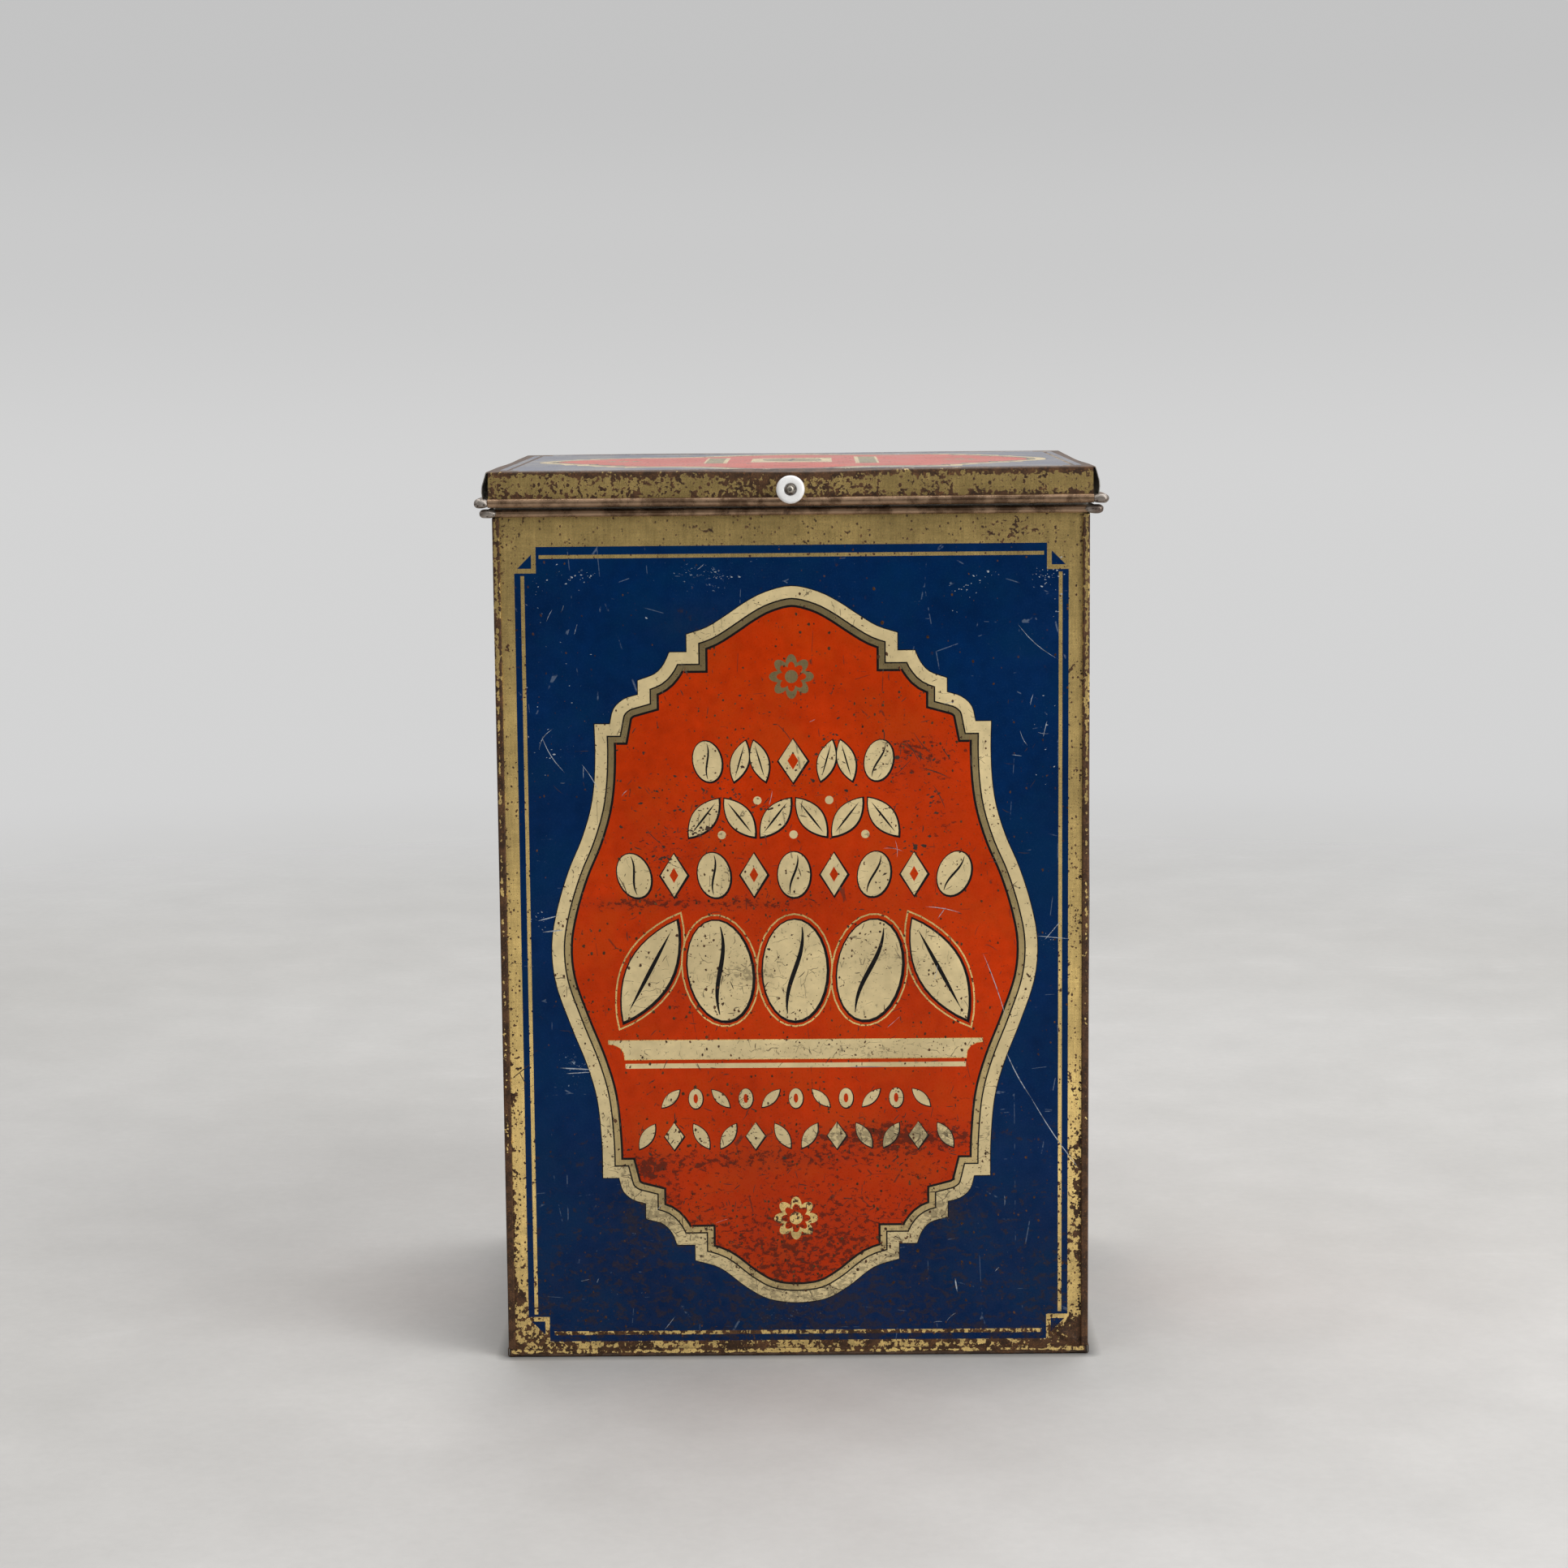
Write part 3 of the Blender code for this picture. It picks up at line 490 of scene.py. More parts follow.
MATS = {key: printed(f"{key}_lacquer", **values) for key, values in INKS.items()}
for key, values in INKS.items():
    # the lid's top has been handled and stood on: it is glossier and more worn; its inks are also painted paler, a
    # painted reflection of the pale sheen the top shows at a low angle
    worn_and_sheen = {**values, "specular": 0.68, "roughness": 0.33, "flakes": min(1.0, values["flakes"] + 0.1), "tarnish_and_shade": None}
    worn_and_sheen["tint"] = tuple(c * 0.5 + d for c, d in zip(values["rgb"], (0.20, 0.16, 0.13)))
    if key == "gold":
        worn_and_sheen.update(rgb=(0.50, 0.385, 0.235), metallic=0.55, rust=1.2, tint=(0.34, 0.27, 0.19))
    if key == "olive":
        worn_and_sheen.update(rgb=(0.34, 0.27, 0.13), tint=(0.30, 0.25, 0.16))
    if key == "cream":
        worn_and_sheen.update(specular=0.85, rgb=(0.60, 0.47, 0.245), tint=(0.50, 0.40, 0.24))
    # painted reflection: the top's blue is painted pale and greyish for the sheen it catches, besides its wear
    if key == "blue":
        worn_and_sheen.update(specular=1.0, rgb=(0.080, 0.088, 0.135), tint=(0.27, 0.240, 0.205))
    if key == "red":
        worn_and_sheen.update(specular=0.85, rgb=(0.49, 0.034, 0.004), tint=(0.47, 0.115, 0.075))
    MATS["top_" + key] = printed(f"lid_{key}_lacquer", **worn_and_sheen)
MATS.update(
    pale_line=bare_line("scratched_to_tin", (0.47, 0.51, 0.56), 0.3, 0.4),
    dark_line=bare_line("scratched_dark", (0.046, 0.020, 0.009), 0.0, 0.55),
    brown=plain_metal("brown_tinplate", (0.37, 0.240, 0.148), (0.125, 0.070, 0.038), 0.25, 0.72, rust=0.16, rust_scale=80, brushed=(30, 1500, 1500), spotty=0.3),
    inside=plain_metal("inner_tinplate", (0.52, 0.495, 0.445), (0.38, 0.358, 0.312), 0.38, 0.74, rust=0.10, rust_scale=60, brushed=(900, 900, 22), spotty=0.35),
    base=plain_metal("rusted_base", (0.118, 0.068, 0.041), (0.048, 0.028, 0.018), 0.60, 0.22, rust=0.5, rust_scale=60),
    tin=plain_metal("hinge_tinplate", (0.42, 0.39, 0.34), (0.22, 0.19, 0.155), 0.38, 0.85, rust=0.28, rust_scale=130),
    wire=plain_metal("iron_wire", (0.20, 0.165, 0.14), (0.075, 0.055, 0.045), 0.5, 0.75, rust=0.4, rust_scale=220),
    solder=plain_metal("solder", (0.40, 0.36, 0.32), (0.17, 0.125, 0.10), 0.38, 0.75, rust=0.16, rust_scale=300, spotty=0.8),
    steel=plain_metal("screw_steel", (0.50, 0.47, 0.41), (0.21, 0.175, 0.135), 0.30, 0.95, rust=0.10, rust_scale=400, spotty=0.8),
)


def porcelain_material():
    material = bpy.data.materials.new("porcelain_glaze")
    t = Tree(material)
    p = t.coords()
    cloud, fine = t.noise(p, 190, 4, 0.55), t.noise(p, 900, 2)
    colour = t.mix(t.step(cloud, 0.35, 0.68), (0.97, 0.968, 0.955), (0.90, 0.892, 0.87))
    d, r, _ = t.cells(p, 900)
    colour = t.mix(t.mul(t.step(t.sub(t.mul(r, 0.10), d), -0.02, 0.01), 0.5), colour, (0.30, 0.25, 0.20))
    colour = t.mix(t.mul(t.attribute("grime"), t.remap(cloud, 0.3, 0.7, 0.5, 1.0)), colour, (0.12, 0.095, 0.07))
    t.out(colour, t.remap(cloud, 0.3, 0.7, 0.14, 0.26), 0.0, t.bump(t.add(cloud, t.mul(fine, 0.2)), 0.25, 0.0001), 0.5, 0.35, 0.06)
    return material


MATS["porcelain"] = porcelain_material()

# ------------------------------------------------------------------ sheets of tinplate

WEAR = ("rust", "chip", "grime")


def triangulate(border, prints, extra):
    """Constrained triangles of the border's inside. Returns points, triangles, each triangle's topmost print, and where each border point went."""
    points = [Vector(p) for p in border]
    faces = [list(range(len(border)))]
    for _, outline in prints:
        start = len(points)
        points += [Vector(p) for p in outline]
        faces.append(list(range(start, start + len(outline))))
    points += [Vector(p) for p in extra]
    verts, _, tris, origin, _, face_of = delaunay_2d_cdt(points, [], faces, 1, 1e-4, True)
    where = {}
    for out_index, sources in enumerate(origin):
        for s in sources:
            if s < len(border):
                where[s] = out_index
    kept, centres = [], []
    for tri, owners in zip(tris, face_of):
        if 0 not in owners or len(tri) != 3:
            continue
        a, b, c = (verts[i] for i in tri)
        area = (b - a).cross(c - a)
        if abs(area) < 1e-7:
            continue
        kept.append(tuple(tri) if area > 0 else (tri[0], tri[2], tri[1]))
        centres.append(tuple((a + b + c) / 3))
    top = topmost(np.array(centres), [outline for _, outline in prints])
    return np.array([tuple(v) for v in verts], float), kept, top, where


def topmost(points, outlines):
    """The number of the last outline that each point lies in, counting from 1, or 0."""
    out = np.zeros(len(points), int)
    px, py = points[:, 0], points[:, 1]
    for n, outline in enumerate(outlines):
        xs, ys = [p[0] for p in outline], [p[1] for p in outline]
        near = np.nonzero((px > min(xs)) & (px < max(xs)) & (py > min(ys)) & (py < max(ys)))[0]
        if not len(near):
            continue
        x, y = px[near], py[near]
        hit = np.zeros(len(near), bool)
        for (ax, ay), (bx, by) in zip(outline, outline[1:] + outline[:1]):
            if ay != by:
                hit ^= ((ay > y) != (by > y)) & (x < (bx - ax) * (y - ay) / (by - ay) + ax)
        out[near[hit]] = n + 1
    return out


def sheet(name, border, prints, lattice, surface, wear, back, body, nodes, base="gold", face_of=None):
    """A sheet of tinplate as one closed mesh: a printed face, a bare back and their thin edges.
    surface maps blank coordinates to the sheet's middle, in mm, and its u and v directions turn anticlockwise seen from the printed face."""
    names = [base] + [m for m, _ in prints]
    front = triangulate(border, prints, lattice)
    rear = triangulate(border, [], lattice)

    def placed(uv, side):
        h = 0.04
        u, v = uv[:, 0], uv[:, 1]
        p = surface(u, v)
        pu, pv = surface(u + h, v) - surface(u - h, v), surface(u, v + h) - surface(u, v - h)
        n = np.cross(pu, pv)
        n /= np.linalg.norm(n, axis=1)[:, None]
        return p + n * (side * T / 2), n * side

    p1, n1 = placed(front[0], 1)
    p2, n2 = placed(rear[0], -1)
    shift = len(p1)
    points = np.vstack([p1, p2]) * MM
    tris, mats, normals = [], [], []
    slots, slot_of = [], {}

    def slot(key):
        if key not in slot_of:
            slot_of[key] = len(slots)
            slots.append(key)
        return slot_of[key]

    for tri, top in zip(front[1], front[2]):
        tris.append(tri)
        u, v = front[0][list(tri)].mean(0)
        mats.append(slot(face_of(names[top], u, v) if face_of else names[top]))
        normals += [n1[i] for i in tri]
    for tri in rear[1]:
        u, v = rear[0][list(tri)].mean(0)
        tris.append((tri[0] + shift, tri[2] + shift, tri[1] + shift))
        mats.append(slot(back(u, v)))
        normals += [n2[i] for i in (tri[0], tri[2], tri[1])]
    n = len(border)
    for k in range(n):
        m = (k + 1) % n
        a, b = front[3][k], front[3][m]
        c, d = rear[3][m] + shift, rear[3][k] + shift
        if a == b:
            continue
        u, v = border[k]
        face = np.cross(points[d] - points[a], points[b] - points[a])
        face /= max(1e-12, np.linalg.norm(face))
        for tri in ((a, d, c), (a, c, b)):
            tris.append(tri)
            mats.append(slot(back(u, v)))
            normals += [face] * 3

    mesh = bpy.data.meshes.new(name)
    mesh.from_pydata([tuple(p) for p in points], [], tris)
    for key in slots:
        mesh.materials.append(MATS[key])
    mesh.polygons.foreach_set("material_index", mats)
    mesh.polygons.foreach_set("use_smooth", [True] * len(tris))
    both = np.vstack([front[0], rear[0]])
    values = wear(both[:, 0], both[:, 1])
    for key in WEAR:
        layer = mesh.attributes.new(key, "FLOAT", "POINT")
        data = np.asarray(values.get(key, 0.0), float) * np.ones(len(both))
        layer.data.foreach_set("value", data.astype(np.float32))
    mesh.normals_split_custom_set([tuple(x) for x in normals])
    obj = bpy.data.objects.new(name, mesh)
    bpy.context.scene.collection.objects.link(obj)
    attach(obj, body)
    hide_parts(*nodes)
    return obj


def lattice_points(columns, rows, border, margin=0.25):
    points = [(u, v) for u in columns for v in rows]
    keep = inside(points, border, margin)
    return [p for p, k in zip(points, keep) if k]


def spaced(lo, hi, step):
    n = max(1, round((hi - lo) / step))
    return [lo + (hi - lo) * k / n for k in range(n + 1)]


# ------------------------------------------------------------------ the printed design


def mirrored(half):
    """A closed counter-clockwise outline from its right half, listed from top to bottom."""
    return half[::-1] + [(-x, y) for x, y in half[1:-1]]


def cartouche(sx=1.0, sy=1.0, cy=200.0):
    """The stepped and scalloped frame, in mm, about the panel's centre line."""
    half = catmull([(0, 372.4), (12.5, 369.6), (22, 364.8), (31, 358.8), (40, 353.3), (49.6, 350.1)], 3, before=(-12.5, 369.6))
    half += [(49.6, 341.7), (57.8, 341.7)]
    half += catmull([(57.8, 341.7), (60.2, 336.4), (64.6, 331.6), (72.8, 328.5)], 2)[1:]
    half += [(72.8, 321.8)]
    half += catmull([(72.8, 321.8), (79.6, 319.6), (84.4, 315.0), (86.2, 307.9)], 2)[1:]
    half += [(93.6, 307.9)]
    half += catmull(
        [(93.6, 307.9), (93.3, 296), (93.9, 281), (95.9, 267.5), (100.4, 253), (106.8, 238), (112.4, 220), (115.4, 202.5), (113.9, 184), (107, 163.2), (99.6, 144), (95, 127), (93.1, 106), (92.9, 88.6)],
        4,
    )[1:]
    half += [(85.2, 88.6)]
    half += catmull([(85.2, 88.6), (83.2, 81.9), (78.6, 77.8), (72.5, 75.9)], 2)[1:]
    half += [(72.5, 68.2)]
    half += catmull([(72.5, 68.2), (64.4, 65.8), (60.0, 61.2), (57.7, 55.3)], 2)[1:]
    half += [(49, 55.3), (49, 47.6)]
    half += catmull([(49, 47.6), (36.8, 43.6), (24.5, 34.2), (13.5, 28.2), (0, 26.4)], 3, after=(-13.5, 28.2))[1:]
    full = mirrored(half)
    return [(x * sx, cy + (y - 200.0) * sy) for x, y in full]


def rectangle(x0, y0, x1, y1):
    return [(x0, y0), (x1, y0), (x1, y1), (x0, y1)]


def turned_about(points, cx, cy, degrees):
    c, s = math.cos(math.radians(degrees)), math.sin(math.radians(degrees))
    return [(cx + x * c - y * s, cy + x * s + y * c) for x, y in points]


def leaf(cx, cy, length, width, degrees, grow=0.0):
    pts = []
    a, b = length / 2 + grow * 1.6, width / 2 + grow
    for k in range(13):
        t = k / 12
        pts.append((a * (2 * t - 1), -b * math.sin(math.pi * t) ** 0.85))
    for k in range(1, 12):
        t = 1 - k / 12
        pts.append((a * (2 * t - 1), b * math.sin(math.pi * t) ** 0.85))
    return turned_about(pts, cx, cy, degrees)


def oval(cx, cy, a, b, degrees=0.0, grow=0.0, n=28):
    return turned_about([((a + grow) * math.cos(2 * math.pi * k / n), (b + grow) * math.sin(2 * math.pi * k / n)) for k in range(n)], cx, cy, degrees)


def crease(cx, cy, a, b, degrees, width):
    """The curved groove along a coffee bean."""
    side = []
    for k in range(15):
        t = -1 + 2 * k / 14
        side.append((a * 0.32 * math.sin(t * math.pi * 0.5) * (1 - 0.25 * t * t), b * 0.86 * t, width * (1 - 0.82 * t * t)))
    right = [(x + w / 2, y) for x, y, w in side]
    left = [(x - w / 2, y) for x, y, w in side][::-1]
    return turned_about(right + left, cx, cy, degrees)


def lozenge(cx, cy, w, h, grow=0.0):
    w, h = w / 2 + grow * 1.4, h / 2 + grow * 1.4
    return [(cx, cy - h), (cx + w, cy), (cx, cy + h), (cx - w, cy)]


def rosette(cx, cy, r, grow=0.0, petals=8):
    pts = []
    n = petals * 8
    for k in range(n):
        a = 2 * math.pi * k / n
        q = abs(math.cos(petals * a / 2))
        pts.append(((r * (0.66 + 0.34 * q) + grow) * math.sin(a), (r * (0.66 + 0.34 * q) + grow) * math.cos(a)))
    return [(cx - x, cy + y) for x, y in pts]


def bean(out, cx, cy, a, b, degrees, line, ink="cream", halo=None):
    if halo:
        out.append((halo[0], oval(cx, cy, a, b, degrees, halo[1] + halo[2])))
        out.append(("red", oval(cx, cy, a, b, degrees, halo[1])))
    out.append(("dark", oval(cx + line * 0.3, cy - line * 0.3, a, b, degrees, line)))
    out.append((ink, oval(cx, cy, a, b, degrees)))
    out.append(("dark", crease(cx, cy, a, b, degrees, max(0.9, a * 0.15))))


def leaf_mark(out, cx, cy, length, width, degrees, line, ink="cream", halo=None, vein=True):
    if halo:
        out.append((halo[0], leaf(cx, cy, length, width, degrees, halo[1] + halo[2])))
        out.append(("red", leaf(cx, cy, length, width, degrees, halo[1])))
    out.append(("dark", leaf(cx + line * 0.3, cy - line * 0.3, length, width, degrees, line)))
    out.append((ink, leaf(cx, cy, length, width, degrees)))
    if vein:
        out.append(("dark", leaf(cx, cy, length * 0.8, max(0.7, width * 0.09), degrees)))


def field_print(half_w, top=391.8, bottom=7.6, square=10.2):
    """Blue field with notched corners, corner triangles and the thin inner line."""
    out = []
    x, notch_top, notch_bottom = half_w, top - 12.4, bottom + 12.2
    xi = x - square
    corners = [(-xi, bottom), (xi, bottom), (xi, notch_bottom), (x, notch_bottom), (x, notch_top), (xi, notch_top), (xi, top), (-xi, top), (-xi, notch_top), (-x, notch_top), (-x, notch_bottom), (-xi, notch_bottom)]
    out.append(("blue", corners))
    for sx in (-1, 1):
        for y0, sy in ((notch_top, 1), (notch_bottom, -1)):
            a, b, c = (sx * (xi + 2.2), y0 + sy * 2.2), (sx * (xi + 8.8), y0 + sy * 2.2), (sx * (xi + 2.2), y0 + sy * 8.8)
            tri = [a, b, c]
            area = (b[0] - a[0]) * (c[1] - a[1]) - (c[0] - a[0]) * (b[1] - a[1])
            out.append(("blue", tri if area > 0 else tri[::-1]))
    w = 1.75
    out.append(("gold", rectangle(-xi + 1.4, top - 5.6, xi - 1.4, top - 5.6 + w)))
    out.append(("gold", rectangle(-xi + 2.2, bottom + 3.1, xi - 2.2, bottom + 3.1 + 1.9)))
    out.append(("gold", rectangle(-x + 2.9, notch_bottom + 1.3, -x + 2.9 + w, notch_top - 1.2)))
    out.append(("gold", rectangle(x - 2.9 - w, notch_bottom + 1.3, x - 2.9, notch_top - 1.2)))
    return out


def frame_print(outline):
    """Cream frame, hairline, bronze line, heavy line and the red field inside."""
    return [
        ("dark", offset_polygon(outline, -0.45)),
        ("cream", outline),
        ("dark", offset_polygon(outline, 5.45)),
        ("olive", offset_polygon(outline, 6.15)),
        ("dark", offset_polygon(outline, 8.75)),
        ("red", offset_polygon(outline, 9.85)),
    ]


def front_print():
    out = field_print(130.1)
    out += frame_print(cartouche())
    # rosettes at the top and the foot
    for cy, ink in ((329.8, "olive"), (68.0, "gold")):
        out.append((ink, rosette(-0.4, cy, 10.6)))
        out.append(("red", rosette(-0.4, cy, 7.0)))
        out.append((ink, oval(-0.4, cy, 3.1, 3.1)))
    # three rows of small leaves, beans and lozenges
    for x in (-40.5, -20.5, 20.5, 40.5):
        s = 1 if x < 0 else -1
        if abs(x) > 30:
            bean(out, x, 289.8, 6.6, 9.7, s * 12, 0.75)
        else:
            leaf_mark(out, x - 4.7, 289.8, 20, 8.2, 74, 0.7)
            leaf_mark(out, x + 4.7, 289.8, 20, 8.2, 106, 0.7)
    out.append(("dark", lozenge(0.2, 289.5, 13.5, 20.5, 0.75)))
    out.append(("cream", lozenge(0, 289.8, 13.5, 20.5)))
    out.append(("red", lozenge(0, 289.8, 5.2, 8.5)))
    for k, x in enumerate((-42.5, -25.5, -8.5, 8.5, 25.5, 42.5)):
        leaf_mark(out, x, 262.8, 23, 10.6, 52 if k % 2 == 0 else 128, 0.75)
    for x in (-34, -17, 0, 17, 34):
        out.append(("cream", oval(x, 254.6 if int(abs(x)) % 2 == 0 else 271.0, 2.0, 2.0, n=16)))
    for k in range(9):
        x = -76 + 19 * k
        if k % 2 == 0:
            bean(out, x, 235.4, 7.6, 10.8, 20 - 5 * k, 0.8)
        else:
            out.append(("dark", lozenge(x + 0.2, 235.1, 12.5, 20.5, 0.8)))
            out.append(("cream", lozenge(x, 235.4, 12.5, 20.5)))
            out.append(("red", lozenge(x, 235.4, 4.2, 7.4)))
    # the large middle band: three coffee beans between leaves
    halo = ("gold", 2.4, 0.75)
    leaf_mark(out, -69.0, 189.2, 55, 21, 62, 1.1, halo=halo)
    leaf_mark(out, 69.0, 189.2, 55, 21, 118, 1.1, halo=halo)
    for x, a in ((-35.6, 9), (0, 0), (35.6, -9)):
        bean(out, x, 189.2, 15.2, 24.4, a, 1.1, halo=halo)
    # moulding bar with coved ends, and the thin rule under it
    cove = [(-81.5, 146.4), (81.5, 146.4), (81.9, 149.6), (83.6, 152.2), (86.6, 153.7), (89.2, 154.1), (89.2, 155.5), (-89.2, 155.5), (-89.2, 154.1), (-86.6, 153.7), (-83.6, 152.2), (-81.9, 149.6)]
    out.append(("gold", offset_polygon(cove, -0.35)))
    out.append(("cream", cove))
    out.append(("cream", rectangle(-81.4, 141.9, 81.4, 144.3)))
    # two rows of small ornaments
    for k in range(11):
        x = -60 + 12 * k
        if k % 2:
            out.append(("dark", oval(x + 0.15, 126.8, 3.3, 4.8, 0, 0.45, 20)))
            out.append(("cream", oval(x, 127.0, 3.3, 4.8, 0, 0, 20)))
            out.append(("red", oval(x, 127.0, 1.1, 2.3, 0, 0, 12)))
        else:
            leaf_mark(out, x, 127.0, 12.0, 4.6, 45 if k % 4 == 0 else 135, 0.45, vein=False)
    for k in range(12):
        x = -71.5 + 13 * k
        if k % 3 == 1:
            out.append(("dark", lozenge(x + 0.2, 108.3, 9.0, 13.0, 0.55)))
            out.append(("cream", lozenge(x, 108.6, 9.0, 13.0)))
        else:
            leaf_mark(out, x, 108.6, 14.0, 5.6, 58 if k % 3 == 0 else 122, 0.5, vein=False)
    return out


def side_print():
    """The sides carry the same field with a narrower frame and one large bean between leaves."""
    out = field_print(HD - 9.9)
    outline = cartouche(0.78, 0.94, 199.0)
    out += frame_print(outline)
    for cy, ink in ((318.0, "olive"), (78.0, "gold")):
        out.append((ink, rosette(0, cy, 10.6)))
        out.append(("red", rosette(0, cy, 7.0)))
        out.append((ink, oval(0, cy, 3.1, 3.1)))
    halo = ("gold", 2.4, 0.75)
    bean(out, 0, 205, 21, 32, 10, 1.1, halo=halo)
    leaf_mark(out, -42.0, 236.0, 50, 19, 118, 1.1, halo=halo)
    leaf_mark(out, 42.0, 236.0, 50, 19, 62, 1.1, halo=halo)
    leaf_mark(out, -42.0, 174.0, 50, 19, 62, 1.1, halo=halo)
    leaf_mark(out, 42.0, 174.0, 50, 19, 118, 1.1, halo=halo)
    for k in range(7):
        x = -42 + 14 * k
        for cy in (283.0, 118.0):
            if k % 2 == 0:
                bean(out, x, cy, 4.6, 6.8, 15 if k < 4 else -15, 0.55)
            else:
                out.append(("dark", lozenge(x + 0.2, cy - 0.2, 8.5, 13.0, 0.5)))
                out.append(("cream", lozenge(x, cy, 8.5, 13.0)))
    cove = [(-52, 134.4), (52, 134.4), (52.4, 137.6), (54.1, 140.2), (57.1, 141.7), (59.7, 142.1), (59.7, 143.5), (-59.7, 143.5), (-59.7, 142.1), (-57.1, 141.7), (-54.1, 140.2), (-52.4, 137.6)]
    out.append(("gold", offset_polygon(cove, -0.35)))
    out.append(("cream", cove))
    out.append(("cream", rectangle(-52, 130.0, 52, 132.4)))
    return out


# ------------------------------------------------------------------ wear over each panel


def sliver(a, b, width, ink, bow=0.0):
    """A scratch: a thin curved sliver, pointed at both ends."""
    a, b = Vector(a), Vector(b)
    d = b - a
    n = Vector((-d.y, d.x)).normalized()
    upper, lower = [], []
    for k in range(1, 6):
        q = k / 6
        c = a + d * q + n * (bow * math.sin(math.pi * q))
        w = n * (width / 2 * math.sin(math.pi * q) ** 0.5)
        upper.append(tuple(c + w))
        lower.append(tuple(c - w))
    return (ink, [tuple(a)] + lower + [tuple(b)] + upper[::-1])


def flecks(seed, cx, cy, rx, ry, count, ink="pale_line", size=(0.20, 0.55)):
    """Small crisp crumbs of missing ink, gathered about a point and wider than tall."""
    r = random.Random(seed)
    out = []
    for _ in range(count):
        x, y, s = r.gauss(cx, rx), r.gauss(cy, ry), r.uniform(*size) * r.choice((0.6, 0.8, 1.0, 1.5))
        n, tall, lean = r.choice((4, 5, 6)), r.uniform(0.25, 0.75), r.uniform(-35, 35)
        shape = [(s * r.uniform(0.4, 1.3) * math.cos(2 * math.pi * k / n), s * tall * r.uniform(0.4, 1.3) * math.sin(2 * math.pi * k / n)) for k in range(n)]
        out.append((ink, turned_about(shape, x, y, lean)))
    return out


def random_scratches(seed, count, half_w, lo, hi, length=(3, 16), width=(0.16, 0.34), ink="pale_line", keep=None, lean=(75, 25)):
    r = random.Random(seed)
    out = []
    while len(out) < count:
        x, y = r.uniform(-half_w, half_w), r.uniform(lo, hi)
        a, l = math.radians(r.choice((r.gauss(*lean), r.gauss(15, 25), r.uniform(0, 180)))), r.uniform(*length)
        a, b = (x, y), (x + l * math.cos(a), y + l * math.sin(a))
        w, bow = r.uniform(*width), r.uniform(-0.08, 0.08) * l
        if abs(b[0]) < half_w and lo < b[1] < hi and (keep is None or keep(x, y) and keep(*b)):
            out.append(sliver(a, b, w, ink, bow))
    return out


def panel_wear(half_w, clusters, smudges, patches=()):
    def wear(u, v):
        side = np.clip(half_w - np.abs(u), 0, None)
        low = 1 - smooth(v, 0, 390)
        rust = 0.27 + 0.18 * low + 0.10 * bell(v - 398, 9)
        rust = rust + 0.20 * bell(v - 9.5, 4.5) + 1.15 * np.exp(-np.clip(v, 0, None) / 1.7) + 0.24 * np.exp(-np.clip(v, 0, None) / 8.0)
        rust = rust + (0.10 + 0.26 * low) * np.exp(-side / 1.8)
        rust = rust + 0.06 * waves(u, v, 11, 42)
        for cx, cy, rx, ry, k in patches:
            rust = rust + k * np.exp(-(((u - cx) / rx) ** 2) - ((v - cy) / ry) ** 2)
        chip = 0.10 + 0.20 * waves(u, v, 5, 55)
        for cx, cy, r, k in clusters:
            chip = chip + k * bell(np.hypot(u - cx, v - cy), r)
        grime = 0.06 + 0.54 * (1 - smooth(v, 8, 150)) + 0.06 * waves(u, v, 6, 80)
        for cx, cy, rx, ry, k in smudges:
            grime = grime + k * np.exp(-(((u - cx) / rx) ** 2) - ((v - cy) / ry) ** 2)
        return {"rust": np.clip(rust, 0, 1.8), "chip": np.clip(chip, 0, 1.2), "grime": np.clip(grime, 0, 1.2)}

    return wear


def wall_back(u, v):
    return "brown" if v > RIM_Z - 3.0 else "inside"


# ------------------------------------------------------------------ the four walls

CURL_LEN = math.radians(CURL) * RIM_ROLL
V_TOP = RIM_Z + CURL_LEN
CURL_ROWS = [RIM_Z + CURL_LEN * k / 20 for k in range(21)]
ROWS = sorted({round(z, 4) for z in spaced(WALL_Z0, RIM_Z, 5.0) + CURL_ROWS + [WALL_Z0 + 1.3, WALL_Z0 + 2.7, WALL_Z0 + 4.2, WALL_Z0 + 7.5]})


def wall_curl():
    return Path(0, 0, 90).line(RIM_Z).arc(RIM_ROLL, -CURL)


def face_panel(name, node, sign, prints, wear, bulge):
    """Front (sign -1) or back (sign +1) wall."""
    half = HW - 0.75
    curl_half = HW - 1.4
    columns = sorted({round(x, 4) for x in spaced(-curl_half, curl_half, 5.0) + [s * (HW - d) for s in (-1, 1) for d in (4.3, 5.6, 8.6)]})
    corners = [(-half, WALL_Z0), (half, WALL_Z0), (half, SEAM_Z1 - 0.3), (curl_half, SEAM_Z1 - 0.3), (curl_half, V_TOP), (-curl_half, V_TOP), (-curl_half, SEAM_Z1 - 0.3), (-half, SEAM_Z1 - 0.3)]
    border = subdivide(corners, 6.0, columns, ROWS)
    path = wall_curl()

    def surface(u, v):
        out, z = path.at(np.clip(v, 0, None))
        d = bulge(u, v)
        flow = smooth(RIM_Z + 6 - v, 0, 10)
        y = HD - T / 2 + out + d * flow
        return np.stack([-sign * u, sign * y, z], 1)

    grid = lattice_points(columns, ROWS, border)
    return sheet(name, border, prints, grid, surface, wear, wall_back, "tin", [node])


